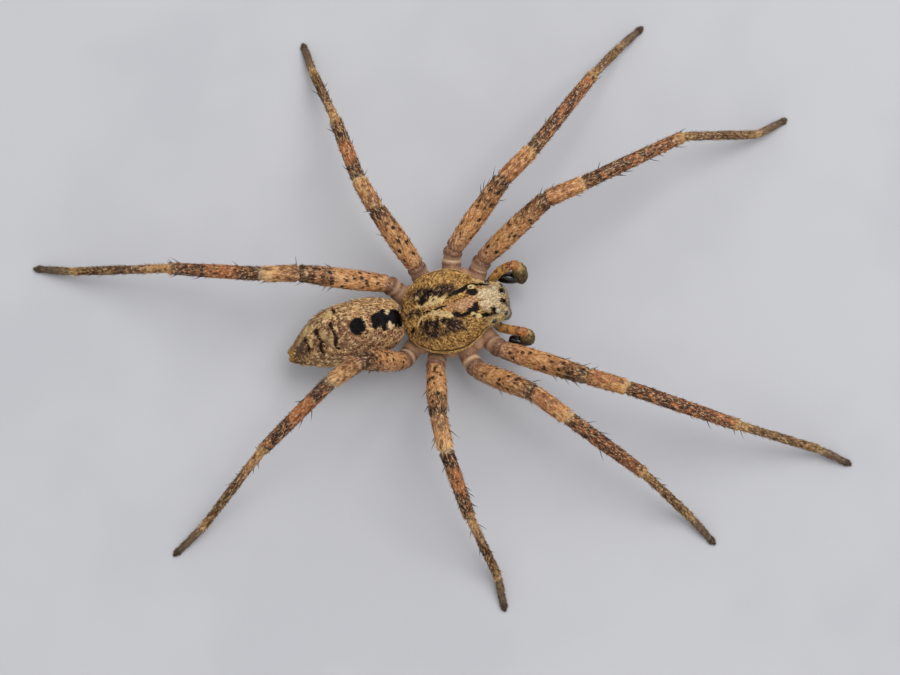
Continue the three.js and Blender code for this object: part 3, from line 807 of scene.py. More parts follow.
# %% Fuse the zones
sources = {"points": [], "place": [], "band": [], "skin": []}
operands = []
for name, zone in zones.items():
    bm, u, v = sleeve(zone["place"], zone["rings"], zone["sides"])
    points = np.array([vert.co for vert in bm.verts])
    place, band = zone["mark"](u, v, points)
    to_metres(bm)
    sources["points"].append(to_scene(points))
    sources["place"].append(place)
    sources["band"].append(band)
    sources["skin"].append(np.full(len(points), zone["skin"]))
    operands.append(new_object("sleeve_" + name, bm))
sources = {key: np.concatenate(parts) for key, parts in sources.items()}

body_sleeve = operands[0]
for piece in operands[1:]:
    union = body_sleeve.modifiers.new(piece.name, "BOOLEAN")
    union.operation = "UNION"
    union.solver = "MANIFOLD"
    union.object = piece
fused = body_sleeve.evaluated_get(bpy.context.evaluated_depsgraph_get())
skin_mesh = bpy.data.meshes.new_from_object(fused)
for piece in operands:
    bpy.data.objects.remove(piece)
skin_triangles = sum(len(face.vertices) - 2 for face in skin_mesh.polygons)
print("skin:", len(skin_mesh.vertices), "points,", skin_triangles, "triangles")

# %% The skin's marks
nearest = mathutils.kdtree.KDTree(len(sources["points"]))
for index, point in enumerate(sources["points"]):
    nearest.insert(point, index)
nearest.balance()
match = np.array([nearest.find(vert.co)[1] for vert in skin_mesh.vertices])
set_attribute(skin_mesh, "place", "FLOAT_VECTOR", sources["place"][match])
set_attribute(skin_mesh, "band", "FLOAT", sources["band"][match])
skin_of_point = sources["skin"][match].astype(int)
skin_mesh.materials.clear()
for face in skin_mesh.polygons:
    face.material_index = int(np.bincount(skin_of_point[list(face.vertices)]).argmax())
skin = bpy.data.objects.new("skin", skin_mesh)
bpy.context.scene.collection.objects.link(skin)
skin_mesh.shade_smooth()

SKIN_NODES = [n for n in frame["nodes"] if not n.startswith(("eye_", "fang_"))]
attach(skin, "root")
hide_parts(*SKIN_NODES)
print("skin stands for", len(SKIN_NODES), "nodes")

# %% [markdown]
# ## Colours and how they are laid on
#
# A spider's colour sits in two layers: the cuticle and the hairs on it. Both layers follow the same marks
# here, so each pattern is one function that skin and coat materials both call. Colours are given as sRGB
# hex values and turned to linear light. One helper adds a node with its settings and its links.

# %% Colours and nodes
def linear(code):
    """An sRGB hex value as linear red, green, blue and alpha."""
    parts = [int(code[k : k + 2], 16) / 255 for k in (1, 3, 5)]
    return (*[c / 12.92 if c <= 0.04045 else ((c + 0.055) / 1.055) ** 2.4 for c in parts], 1.0)


def add(tree, kind, inputs=None, out=0, **settings):
    """Add a node, set its settings, link or set its inputs, and give back one of its outputs."""
    node = tree.nodes.new(kind)
    for key, value in settings.items():
        setattr(node, key, value)
    for key, value in (inputs or {}).items():
        if isinstance(value, bpy.types.NodeSocket):
            tree.links.new(value, node.inputs[key])
        else:
            node.inputs[key].default_value = value
    return node.outputs[out]


print("a middle grey, #808080, in linear light:", round(linear("#808080")[0], 3))

# %% Layers and masks
FACTOR, COLOUR_A, COLOUR_B, MIXED = 0, 6, 7, 2


def paint(tree, under, layers):
    """Lay colours over one another, each only where its mask is 1."""
    for colour, mask in layers:
        over = linear(colour) if isinstance(colour, str) else colour
        inputs = {FACTOR: mask, COLOUR_A: under, COLOUR_B: over}
        under = add(tree, "ShaderNodeMix", inputs, out=MIXED, data_type="RGBA")
    return under


def between(tree, value, low, high):
    """0 below low and 1 above high, or the other way round where high is the lower one."""
    inputs = {"Value": value, "From Min": min(low, high), "From Max": max(low, high)}
    inputs.update({"To Min": float(low > high), "To Max": float(low < high)})
    return add(tree, "ShaderNodeMapRange", inputs, interpolation_type="SMOOTHSTEP")


def times(tree, *values):
    product = values[0]
    for value in values[1:]:
        product = add(tree, "ShaderNodeMath", {0: product, 1: value}, operation="MULTIPLY")
    return product


def tinted(tree, colour, tint):
    inputs = {FACTOR: 1.0, COLOUR_A: colour, COLOUR_B: tint}
    return add(tree, "ShaderNodeMix", inputs, out=MIXED, data_type="RGBA", blend_type="MULTIPLY")


# %% Grain, frayed edges and ovals
GRAINS_IN_A_UNIT = 0.6
FAR = 50.0


def grain(tree, place, size, detail=3.0):
    """Noise whose grains are about `size` millimetres across."""
    inputs = {"Vector": place, "Scale": GRAINS_IN_A_UNIT / size, "Detail": detail, "Roughness": 0.6}
    return add(tree, "ShaderNodeTexNoise", inputs)


def ragged(tree, place, size, reach):
    """Places pushed about a little, so that the edge of a mark breaks up into hairs."""
    inputs = {"Vector": place, "Scale": GRAINS_IN_A_UNIT / size, "Detail": 2.0}
    push = add(tree, "ShaderNodeTexNoise", inputs, out="Color")
    push = add(tree, "ShaderNodeVectorMath", {0: push, 1: (0.5, 0.5, 0.5)}, operation="SUBTRACT")
    push = add(tree, "ShaderNodeVectorMath", {0: push, "Scale": 2 * reach}, operation="SCALE")
    return add(tree, "ShaderNodeVectorMath", {0: place, 1: push}, operation="ADD")


def marks(tree, place, spots, soft=0.18):
    """1 inside any of the ovals, given by centre, half length, half width and turn, in mm and degrees."""
    nearest_oval = None
    for x, y, long, wide, turn in spots:
        inputs = {"Vector": place, "Location": (x, y, 0), "Scale": (long, wide, FAR)}
        inputs["Rotation"] = (0, 0, math.radians(turn))
        local = add(tree, "ShaderNodeMapping", inputs, vector_type="TEXTURE")
        share = add(tree, "ShaderNodeVectorMath", {0: local}, out="Value", operation="LENGTH")
        if nearest_oval is None:
            nearest_oval = share
        else:
            nearest_oval = add(tree, "ShaderNodeMath", {0: nearest_oval, 1: share}, operation="MINIMUM")
    return between(tree, nearest_oval, 1 + soft, 1 - soft)


# %% Materials and the marks that they read
def place_and_band(tree):
    """The two marks that the skin and every hair carry."""
    return [
        add(tree, "ShaderNodeAttribute", out="Vector", attribute_name="place"),
        add(tree, "ShaderNodeAttribute", out="Fac", attribute_name="band"),
    ]


def new_material(name):
    material = bpy.data.materials.new(name)
    material.use_nodes = True
    tree = material.node_tree
    return material, tree, tree.nodes["Principled BSDF"]


# %% [markdown]
# ## Marks of the carapace
#
# The pattern on the back of the head and breast is what tells this species from its neighbours: a pale
# wedge between black bars on the head, jagged cream patches each side of the groove, and a broad golden
# border. Each mark is a few ovals in millimetres, and a noise frays their edges.

# %% Carapace marks
CARAPACE_BARS = [
    (0.65, -0.69, 0.33, 0.09, 111), (0.82, -1.19, 0.39, 0.14, 106), (0.97, -1.65, 0.38, 0.16, 115),
    (1.05, -2.44, 0.65, 0.09, 79), (0.62, -1.97, 0.38, 0.22, 87), (-0.53, -0.91, 0.39, 0.14, 63),
    (-0.58, -1.40, 0.38, 0.12, 101), (-0.31, -2.02, 0.22, 0.31, 79), (-0.48, -1.80, 0.31, 0.20, 59),
    (-0.83, -2.51, 0.36, 0.11, 92), (-0.79, -2.94, 0.26, 0.07, 92), (-0.58, -3.00, 0.20, 0.14, 69),
    (-0.15, -3.67, 0.22, 0.17, 79), (0.48, -3.67, 0.15, 0.19, 79), (-1.33, -3.55, 0.15, 0.19, 79),
    (0.09, -0.01, 0.38, 0.07, 100), (0.03, 0.86, 0.30, 0.05, 87),
]
CARAPACE_TEETH = [
    (0.73, 0.92, 0.18, 0.25, 79), (0.58, 1.08, 0.16, 0.11, 49), (1.03, 0.62, 0.20, 0.12, 79),
    (0.97, 0.17, 0.13, 0.12, 79), (1.16, 0.41, 0.28, 0.08, 89), (0.97, -0.18, 0.15, 0.08, 59),
    (-0.48, 1.24, 0.08, 0.19, 69), (-0.64, 0.98, 0.10, 0.26, 67), (-0.74, 0.37, 0.10, 0.29, 73),
    (-0.72, -0.01, 0.10, 0.24, 71), (-0.60, 0.72, 0.07, 0.16, 79), (-0.78, -0.34, 0.08, 0.15, 79),
    (-0.80, 1.79, 0.09, 0.19, 69),
]
CREAM_PATCHES = [
    (0.38, 1.09, 0.38, 0.09, 69), (0.38, 0.56, 0.38, 0.17, 83), (0.43, 0.12, 0.44, 0.19, 101),
    (0.56, -0.19, 0.31, 0.12, 107), (0.69, 0.47, 0.09, 0.19, 79), (0.69, 0.16, 0.08, 0.16, 99),
    (0.93, 1.24, 0.14, 0.09, 109), (-0.31, 1.22, 0.21, 0.09, 134), (-0.13, 0.85, 0.37, 0.11, 111),
    (-0.13, 0.35, 0.44, 0.15, 83), (-0.29, -0.06, 0.38, 0.16, 74), (-0.43, -0.39, 0.23, 0.21, 79),
    (-0.50, 1.37, 0.06, 0.16, 69), (-0.43, 0.52, 0.06, 0.16, 79), (-0.49, 0.11, 0.06, 0.15, 79),
]
HEAD_WEDGE = [
    (0.03, -0.71, 0.46, 0.21, 97), (-0.03, -1.26, 0.55, 0.36, 89), (0.04, -1.68, 0.37, 0.28, 79),
    (0.22, -2.09, 0.37, 0.17, 109),
]
PALE_FRONT = [
    (0.35, -2.74, 0.48, 0.39, 69), (0.03, -3.08, 0.46, 0.56, 79), (-0.20, -2.63, 0.29, 0.37, 79),
    (0.21, -3.43, 0.16, 0.34, 79),
]
PALE_RINGS = [
    (0.96, -1.99, 0.21, 0.14, 89), (-0.82, -2.08, 0.17, 0.14, 79), (-0.68, -1.82, 0.18, 0.12, 59),
]
RING_CENTRES = [(0.94, -1.97, 0.07, 0.06, 79), (-0.76, -1.85, 0.10, 0.08, 79)]
HEAD_STRIPES = [
    (1.30, -2.51, 0.43, 0.11, 67), (1.13, -3.20, 0.45, 0.12, 78), (-1.17, -2.96, 0.56, 0.16, 110),
    (-1.16, -3.02, 0.42, 0.17, 91),
]
DUSKY_ZONES = [
    (1.00, 0.75, 0.95, 0.48, 80), (1.02, -0.35, 0.75, 0.44, 98), (-1.04, 0.45, 1.18, 0.56, 96),
    (-1.02, -0.55, 0.84, 0.48, 76), (0.10, 1.55, 0.42, 0.24, 90),
]
RIM_LINE, RIM_EDGE = 0.945, 0.965
print("on the back:", len(CARAPACE_BARS + CARAPACE_TEETH), "dark and", len(CREAM_PATCHES), "cream ovals")


# %% Colours of the carapace
def carapace_colour(tree):
    place, band = place_and_band(tree)
    frayed = ragged(tree, place, 0.10, 0.10)
    top = between(tree, band, 1.15, 1.05)
    fine = grain(tree, place, 0.07)
    coarse = grain(tree, place, 0.25)
    gold = paint(tree, linear("#ad8048"), [
        ("#573718", between(tree, fine, 0.50, 0.42)),
        ("#deb672", between(tree, fine, 0.53, 0.62)),
    ])
    dusky = times(tree, marks(tree, frayed, DUSKY_ZONES, 0.35), between(tree, coarse, 0.70, 0.50), top)
    head = between(tree, add(tree, "ShaderNodeSeparateXYZ", {0: place}, out="Y"), -2.3, -2.9)
    under = between(tree, band, 1.08, 1.16)
    from_line = between(tree, band, RIM_LINE - 0.02, RIM_LINE)
    line = times(tree, from_line, between(tree, band, RIM_EDGE, RIM_EDGE - 0.01))
    edge = between(tree, band, RIM_EDGE - 0.005, RIM_EDGE + 0.005)
    front = times(tree, marks(tree, frayed, PALE_FRONT, 0.2), top)
    wedge = times(tree, marks(tree, frayed, HEAD_WEDGE, 0.2), top)
    cream = times(tree, marks(tree, frayed, CREAM_PATCHES, 0.15), top)
    return paint(tree, gold, [
        ("#291810", dusky),
        ("#94785a", times(tree, dusky, between(tree, fine, 0.54, 0.64))),
        ("#3a2414", line),
        ("#d0a968", times(tree, edge, top)),
        ("#94703f", times(tree, edge, top, between(tree, fine, 0.48, 0.42))),
        ("#b99c74", times(tree, head, 0.8)),
        ("#6d5640", times(tree, head, between(tree, fine, 0.47, 0.40), 0.6)),
        ("#e8d6ae", times(tree, head, between(tree, fine, 0.52, 0.59), 0.9)),
        ("#d9bb85", cream),
        ("#9c7c4c", times(tree, cream, between(tree, fine, 0.48, 0.41))),
        ("#150903", times(tree, marks(tree, frayed, CARAPACE_TEETH, 0.15), top)),
        ("#a9774e", wedge),
        ("#dcc09a", times(tree, wedge, between(tree, fine, 0.52, 0.60))),
        ("#d6bd94", front),
        ("#8c6e4e", times(tree, front, between(tree, fine, 0.45, 0.38))),
        ("#f4e6c4", times(tree, front, between(tree, fine, 0.52, 0.59))),
        ("#120702", times(tree, marks(tree, frayed, CARAPACE_BARS, 0.15), top)),
        ("#d6c084", times(tree, marks(tree, place, PALE_RINGS, 0.15), top)),
        ("#1f1108", times(tree, marks(tree, place, RING_CENTRES, 0.3), top)),
        ("#cdb37c", times(tree, marks(tree, frayed, HEAD_STRIPES, 0.2), top)),
        ("#a5805f", times(tree, under, between(tree, head, 0.9, 0.1))),
    ])


# %% [markdown]
# ## Marks of the abdomen
#
# The abdomen is pinkish tan. A black blotch over the heart lies behind the waist, then a round black spot,
# then three dark crescents towards the tail, with yellowish patches beside them and a dusting of specks.

# %% Abdomen marks
HEART_BLOTCH = [
    (0.03, 3.69, 0.40, 0.45, 79), (-0.02, 3.26, 0.50, 0.41, 79), (0.04, 2.71, 0.42, 0.41, 79),
    (0.45, 3.32, 0.20, 0.20, 0), (-0.32, 3.93, 0.17, 0.17, 0), (-0.47, 3.39, 0.19, 0.22, 79),
    (-0.38, 2.60, 0.21, 0.25, 79), (0.40, 2.70, 0.28, 0.14, 69),
]
HEART_NOTCHES = [(0.41, 3.05, 0.09, 0.19, 59), (-0.39, 3.05, 0.11, 0.26, 89)]
ROUND_SPOT = [(-0.16, 4.91, 0.48, 0.52, 79)]
CRESCENTS = [
    (0.24, 6.43, 0.25, 0.10, 179), (-0.20, 6.34, 0.35, 0.10, 17), (-0.75, 6.31, 0.38, 0.12, 166),
    (-1.14, 6.25, 0.20, 0.07, 58), (0.07, 7.33, 0.25, 0.14, 178), (-0.30, 7.23, 0.26, 0.08, 25),
    (-0.74, 7.18, 0.29, 0.12, 155), (-1.12, 7.20, 0.27, 0.10, 26), (-0.26, 8.01, 0.25, 0.09, 16),
    (-0.76, 7.95, 0.37, 0.09, 0), (0.67, 7.12, 0.08, 0.08, 0), (1.14, 6.13, 0.10, 0.23, 99),
]
GREY_TAIL = [(-0.80, 8.60, 0.24, 0.35, 79), (-0.44, 8.34, 0.13, 0.19, 79)]
YELLOW_PATCHES = [
    (0.36, 7.74, 0.34, 0.22, 111), (0.92, 6.56, 0.33, 0.24, 99), (-0.26, 6.92, 0.19, 0.29, 99),
    (-0.14, 8.40, 0.14, 0.27, 59), (-0.61, 6.57, 0.14, 0.28, 79), (-0.49, 7.78, 0.12, 0.22, 79),
]
DUSKY_BACK = [(-0.25, 5.95, 0.55, 0.95, 79), (-0.30, 7.05, 0.62, 0.80, 79), (-0.55, 8.15, 0.45, 0.60, 79)]
FLANK_MOTTLES = [(-1.60, 4.75, 0.28, 0.22, 79), (-1.66, 5.30, 0.22, 0.13, 79), (-1.07, 5.97, 0.28, 0.15, 69)]
print("on the abdomen:", len(HEART_BLOTCH + ROUND_SPOT + CRESCENTS), "black ovals")


# %% Colours of the abdomen
def abdomen_colour(tree):
    place, _ = place_and_band(tree)
    frayed = ragged(tree, place, 0.12, 0.05)
    x, y, z = [add(tree, "ShaderNodeSeparateXYZ", {0: place}, out=axis) for axis in "XYZ"]
    top = between(tree, z, 2.7, 3.1)
    fine = grain(tree, place, 0.06)
    middling = grain(tree, place, 0.13)
    coarse = grain(tree, place, 0.45)
    # painted light: the left half of the back and the left flank are made paler, as the side that faces the
    # light
    painted_light_left = between(tree, x, -0.3, 0.9)
    tail = between(tree, y, 5.8, 8.4)
    base = paint(tree, linear("#bd8f68"), [
        ("#dcb078", times(tree, painted_light_left, 0.85)),
        ("#9c7850", times(tree, tail, 0.8)),
        ("#d2a873", between(tree, coarse, 0.50, 0.62)),
    ])
    specks = times(tree, between(tree, fine, 0.51, 0.56), between(tree, coarse, 0.72, 0.50))
    dusky_back = times(tree, marks(tree, frayed, DUSKY_BACK, 0.45), between(tree, middling, 0.42, 0.56), top)
    return paint(tree, base, [
        ("#6e4a3c", times(tree, dusky_back, 0.75)),
        ("#6b4630", times(tree, between(tree, middling, 0.54, 0.61), 0.8)),
        ("#f2d4a0", times(tree, between(tree, middling, 0.46, 0.39), 0.95)),
        ("#4a2e20", specks),
        ("#d8bd80", times(tree, marks(tree, frayed, YELLOW_PATCHES, 0.5), top, 0.5)),
        ("#6b4a37", times(tree, marks(tree, frayed, FLANK_MOTTLES, 0.3), 0.7)),
        ("#4d4636", times(tree, marks(tree, frayed, GREY_TAIL, 0.35), top, 0.85)),
        ("#22110a", times(tree, marks(tree, frayed, CRESCENTS, 0.25), top)),
        ("#080403", times(tree, marks(tree, frayed, HEART_BLOTCH, 0.14), top)),
        ("#dcc29a", times(tree, marks(tree, frayed, HEART_NOTCHES, 0.25), top)),
        ("#040303", times(tree, marks(tree, place, ROUND_SPOT, 0.08), top)),
        ("#b98a4c", times(tree, between(tree, y, 8.84, 9.02), between(tree, fine, 0.62, 0.52))),
    ])


# %% [markdown]
# ## Bands and dashes of the legs
#
# On the legs the ground colour changes from segment to segment, and a colour ramp read along `band` gives
# each its own. Whole numbers are joints: 0 the root, 1 the hip, 2 the knee, 3 the knob, 4 the ankle, 5 the
# heel and 6 the claws. Dark dashes lie along the segments, as cells of a pattern drawn out lengthwise.

# %% Ground colours along the legs
ROOT_BAND, CLAWS_BAND = -0.5, 6.0
FRONT_LEG_GROUND = [
    (-0.50, "#9c7a60"), (0.45, "#ab8263"), (0.60, "#6b4632"), (0.70, "#c2a080"), (0.82, "#b38f70"),
    (0.92, "#5a3828"), (1.02, "#936850"), (1.16, "#b27d56"), (1.35, "#c4884f"), (1.70, "#b87c4a"),
    (1.90, "#8a5834"), (1.98, "#24120b"), (2.03, "#4a2c1c"), (2.10, "#a4663a"), (2.60, "#ac6f40"),
    (2.84, "#c68a50"), (2.97, "#e2b47a"), (3.03, "#4f3220"), (3.15, "#4b2a1c"), (3.55, "#5c3321"),
    (3.90, "#7c4c2e"), (3.97, "#b99560"), (4.04, "#94703f"), (4.18, "#6d4b30"), (4.70, "#7d5c3d"),
    (4.94, "#937348"), (5.00, "#caa873"), (5.07, "#806650"), (5.60, "#76624c"), (6.00, "#625242"),
]
REAR_LEG_GROUND = [
    (-0.50, "#9c7a60"), (0.45, "#ab8263"), (0.60, "#6b4632"), (0.70, "#c2a080"), (0.82, "#b38f70"),
    (0.92, "#5a3828"), (1.02, "#936850"), (1.14, "#c68b58"), (1.65, "#c58c59"), (1.80, "#a97146"),
    (1.92, "#5a3b28"), (1.99, "#22120b"), (2.08, "#8a5e3f"), (2.50, "#b98250"), (2.84, "#d0a06a"),
    (2.97, "#e8c592"), (3.02, "#4a2f22"), (3.20, "#3f261b"), (3.27, "#a8673d"), (3.52, "#b26d40"),
    (3.60, "#45291e"), (3.90, "#4a3023"), (3.98, "#cda56e"), (4.05, "#b98b54"), (4.22, "#9b7045"),
    (4.36, "#5e4129"), (4.85, "#71502f"), (4.95, "#a07a48"), (5.01, "#d6b077"), (5.08, "#7c644a"),
    (6.00, "#625242"),
]
print("colours along a leg:", len(FRONT_LEG_GROUND), "in front,", len(REAR_LEG_GROUND), "behind")


# %% A ground that changes along a limb
def ground_along(tree, band, stops, first, last):
    """The ground colour of a limb: each stop is a colour and the place on the band where it stands."""
    share = add(tree, "ShaderNodeMapRange", {"Value": band, "From Min": first, "From Max": last})
    ramp = tree.nodes.new("ShaderNodeValToRGB")
    tree.links.new(share, ramp.inputs[0])
    elements = ramp.color_ramp.elements
    while len(elements) < len(stops):
        elements.new(1.0)
    for element, (at, colour) in zip(elements, stops):
        element.position = (at - first) / (last - first)
        element.color = linear(colour)
    return ramp.outputs[0]


# %% Colours of the legs
BAND_WANDER = 0.10
# length and breadth of a dash's cell in mm, and how far streaks and blots are drawn out
DASH_CELL, STREAK_SHAPE, BLOT_SHAPE = (0.46, 0.34), (1.6, 1.0), (1.25, 1.0)


def leg_colour(tree, stops):
    place, band = place_and_band(tree)
    wander = add(tree, "ShaderNodeMath", {0: grain(tree, place, 0.35), 1: -0.5}, operation="ADD")
    wavy = add(tree, "ShaderNodeMath", {0: wander, 1: BAND_WANDER, 2: band}, operation="MULTIPLY_ADD")
    ground = ground_along(tree, wavy, stops, ROOT_BAND, CLAWS_BAND)
    cells, streaks, blots = [
        add(tree, "ShaderNodeMapping", {"Vector": place, "Scale": (1 / along, 1 / across, 1 / across)})
        for along, across in (DASH_CELL, STREAK_SHAPE, BLOT_SHAPE)
    ]
    inputs = {"Vector": cells, "Scale": 1.0, "Randomness": 1.0}
    dash = between(tree, add(tree, "ShaderNodeTexVoronoi", inputs, out="Distance"), 0.40, 0.27)
    some = between(tree, grain(tree, place, 0.7, 1.0), 0.38, 0.44)
    fine = grain(tree, streaks, 0.06)
    mottle = grain(tree, blots, 0.14)
    patchy = grain(tree, place, 0.5, 1.0)
    beyond_knob = between(tree, band, 3.0, 3.1)
    on_tibia = times(tree, beyond_knob, between(tree, band, 4.1, 3.95))
    beyond_ankle = between(tree, band, 3.95, 4.1)
    before_tarsus = between(tree, band, 5.2, 5.0)
    on_femur = times(tree, between(tree, band, 1.05, 1.15), between(tree, band, 2.0, 1.95))
    on_patella = times(tree, between(tree, band, 2.08, 2.15), between(tree, band, 3.0, 2.9))
    before_knee = times(tree, between(tree, band, 1.55, 1.8), between(tree, band, 2.02, 1.98))
    light_streaks = times(tree, between(tree, fine, 0.53, 0.62), between(tree, band, 5.4, 5.0))
    on_upper_leg = times(tree, between(tree, band, 1.0, 1.1), between(tree, band, 3.0, 2.9))
    beyond_hip = between(tree, band, 0.95, 1.05)
    return paint(tree, ground, [
        ("#dfb27c", times(tree, between(tree, mottle, 0.54, 0.62), on_upper_leg, 0.7)),
        ("#7d5236", times(tree, between(tree, mottle, 0.47, 0.40), on_upper_leg, 0.6)),
        ("#b5703c", times(tree, between(tree, mottle, 0.53, 0.60), on_tibia, 0.85)),
        ("#9c754a", times(tree, between(tree, mottle, 0.55, 0.62), beyond_ankle, before_tarsus, 0.5)),
        ("#24130c", times(tree, between(tree, mottle, 0.47, 0.39), beyond_knob, before_tarsus, 0.8)),
        ("#4a2c1c", times(tree, between(tree, patchy, 0.52, 0.44), before_knee, 0.85)),
        ("#e8c48c", times(tree, light_streaks, beyond_hip, 0.5)),
        ("#c9a584", times(tree, light_streaks, 0.3)),
        ("#3a2216", times(tree, between(tree, fine, 0.46, 0.38), beyond_hip, 0.55)),
        ("#25130b", times(tree, dash, some, on_femur, 0.95)),
        ("#5a3522", times(tree, dash, some, on_patella, 0.7)),
    ])


def front_leg_colour(tree):
    return leg_colour(tree, FRONT_LEG_GROUND)


def rear_leg_colour(tree):
    return leg_colour(tree, REAR_LEG_GROUND)


# %% [markdown]
# ## Colours of palps, jaws and bulbs
#
# The palps share the legs' orange ground and dark spots up to a reddish knee, and end in a grey-olive tip.
# The bulb under it is bare, black and polished. The jaws are dark brown under a fringe of grey hair.

# %% Colours of the small parts
PALP_GROUND = [
    (0.0, "#9c7a60"), (1.0, "#8e6a4e"), (1.5, "#c08c4a"), (2.7, "#bb8245"), (2.92, "#7d3d24"),
    (3.02, "#8a4a2c"), (3.3, "#b97840"), (3.75, "#a05c34"), (3.93, "#e0bd84"), (4.02, "#b08a55"),
    (4.15, "#7d6b45"), (4.5, "#645a3c"), (5.0, "#4c452f"),
]
# main colour, second colour, size of the clouds in mm, and the noise levels between which they change
CLOUDED = {
    "jaw": ("#4b2f20", "#2c1a11", 0.1, 0.45, 0.60),
    "fringe": ("#b3a88e", "#6e6350", 0.1, 0.46, 0.56),
    "bulb": ("#0c0704", "#2a1509", 0.2, 0.50, 0.70),
}


def palp_colour(tree):
    place, band = place_and_band(tree)
    spots = between(tree, grain(tree, place, 0.14), 0.54, 0.60)
    streaks = between(tree, grain(tree, place, 0.06), 0.53, 0.60)
    return paint(tree, ground_along(tree, band, PALP_GROUND, 0.0, PALP_GROUND[-1][0]), [
        ("#3a1f12", times(tree, spots, 0.85)),
        ("#c9ab70", times(tree, streaks, 0.5)),
    ])


def clouded(part):
    """The colour function of a part that has two tones and no marks."""
    main, second, size, low, high = CLOUDED[part]

    def colour_of(tree):
        place, _ = place_and_band(tree)
        return paint(tree, linear(main), [(second, between(tree, grain(tree, place, size), low, high))])

    return colour_of


print("colours along a palp:", len(PALP_GROUND), "and two tones each for", ", ".join(CLOUDED))

# %% [markdown]
# ## Cuticle and hair
#
# Cuticle is chitin, the stuff of a beetle's shell: grown in thin layers, tanned brown, and faced with wax.
# To the eye that is a soft, broken gloss over a fine grain, with pits where hairs stand. The hairs are
# hollow shafts of the same chitin, too thin to shine, and each has a shade of its own and a paler tip.
# Both take the marks of their zone from the functions above.

# %% Cuticle materials
CHITIN_IOR = 1.56
PIT_SIZE, PIT_DEPTH = 0.05, 0.03
GLOSS_SWING = 0.1


def cuticle(name, colour_of, roughness, bump, gloss_level, painted_shade_factor):
    material, tree, shader = new_material(name)
    # the marks' colour is scaled down here: painted shade in the gaps between the hairs, most under the
    # densest coat
    colour = tinted(tree, colour_of(tree), (painted_shade_factor, painted_shade_factor, painted_shade_factor, 1.0))
    tree.links.new(colour, shader.inputs["Base Color"])
    pits = grain(tree, place_and_band(tree)[0], PIT_SIZE, 2.0)
    height = add(tree, "ShaderNodeBump", {"Height": pits, "Strength": bump, "Distance": PIT_DEPTH * MM})
    tree.links.new(height, shader.inputs["Normal"])
    inputs = {"Value": pits, "To Min": roughness - GLOSS_SWING, "To Max": roughness + GLOSS_SWING}
    tree.links.new(add(tree, "ShaderNodeMapRange", inputs), shader.inputs["Roughness"])
    shader.inputs["Specular IOR Level"].default_value = gloss_level
    shader.inputs["IOR"].default_value = CHITIN_IOR
    return material


SKIN_LOOKS = {
    # zone of the skin: name, colours, roughness, bump, gloss level, and painted shade under its hair, as a
    # factor
    # a tanned plate, closely pitted by its hairs: a dull shell, seen only between them, with the most
    # painted shade
    CARAPACE_SKIN: ("carapace cuticle", carapace_colour, 0.60, 0.6, 0.12, 0.75),
    # soft skin, never tanned, so that it can swell: matt and faintly leathery
    ABDOMEN_SKIN: ("abdomen skin", abdomen_colour, 0.65, 0.6, 0.12, 0.80),
    # tanned tubes with thinner hair: a soft sheen along their upper side
    FRONT_LEG_SKIN: ("front leg cuticle", front_leg_colour, 0.50, 0.5, 0.25, 0.90),
    REAR_LEG_SKIN: ("rear leg cuticle", rear_leg_colour, 0.50, 0.5, 0.25, 0.90),
    PALP_SKIN: ("palp cuticle", palp_colour, 0.45, 0.4, 0.30, 0.95),
    # thick, smooth plates, nearly bare: clear lights
    JAW_SKIN: ("jaw cuticle", clouded("jaw"), 0.38, 0.4, 0.40, 1.0),
    # the hardest plate, bare and polished: small sharp lights on black
    BULB_SKIN: ("bulb cuticle", clouded("bulb"), 0.24, 0.2, 0.50, 1.0),
}
for zone in sorted(SKIN_LOOKS):
    skin_mesh.materials.append(cuticle(*SKIN_LOOKS[zone]))
print("skin materials:", [material.name for material in skin_mesh.materials])

# %% Hair materials
HAIR_SHADES, TIP_SHADES = (0.35, 1.75), (0.7, 1.3)
HAIR_ROUGHNESS, HAIR_GLOSS = 0.65, 0.05


def hair(name, colour_of):
    """Chitin hair: dull, each hair darker or paler than its zone, and each paler towards its tip."""
    material, tree, shader = new_material(name)
    shades = []
    for mark, (low, high) in (("shade", HAIR_SHADES), ("tip", TIP_SHADES)):
        value = add(tree, "ShaderNodeAttribute", out="Fac", attribute_name=mark)
        shades.append(add(tree, "ShaderNodeMapRange", {"Value": value, "To Min": low, "To Max": high}))
    tint = times(tree, *shades)
    grey = add(tree, "ShaderNodeCombineXYZ", {0: tint, 1: tint, 2: tint})
    tree.links.new(tinted(tree, colour_of(tree), grey), shader.inputs["Base Color"])
    shader.inputs["Roughness"].default_value = HAIR_ROUGHNESS
    shader.inputs["Specular IOR Level"].default_value = HAIR_GLOSS
    shader.inputs["IOR"].default_value = CHITIN_IOR
    return material


print("hairs are", HAIR_SHADES[0], "to", HAIR_SHADES[1], "times as light as their zone")

# %% Lenses and horn
CLOUD_SIZE = 0.1
LENS_COAT, LENS_COAT_ROUGHNESS = 0.5, 0.05


def glassy(name, main_colour, cloud_colour, roughness):
    """Smooth, thick chitin with a clear outer layer, in one colour clouded by another."""
    material, tree, shader = new_material(name)
    clouds = grain(tree, add(tree, "ShaderNodeTexCoord", out="Object"), CLOUD_SIZE * MM)
    tone = paint(tree, linear(main_colour), [(cloud_colour, between(tree, clouds, 0.50, 0.75))])
    tree.links.new(tone, shader.inputs["Base Color"])
    shader.inputs["Roughness"].default_value = roughness
    shader.inputs["Coat Weight"].default_value = LENS_COAT
    shader.inputs["Coat Roughness"].default_value = LENS_COAT_ROUGHNESS
    return material


# a clear lens over a black cup: wet, with one sharp light
dark_lens = glassy("dark eye lens", "#050404", "#120c09", 0.12)
# the same lens over a mirror layer: pale, and a little softer
pale_lens = glassy("pale eye lens", "#a89d7c", "#7d7252", 0.22)
# chitin at its hardest, as in a beak or a claw: near black with a red cast, polished by wear
fang_horn = glassy("fang horn", "#1c0d08", "#0a0504", 0.2)
print("clear materials:", dark_lens.name + ",", pale_lens.name + ",", fang_horn.name)

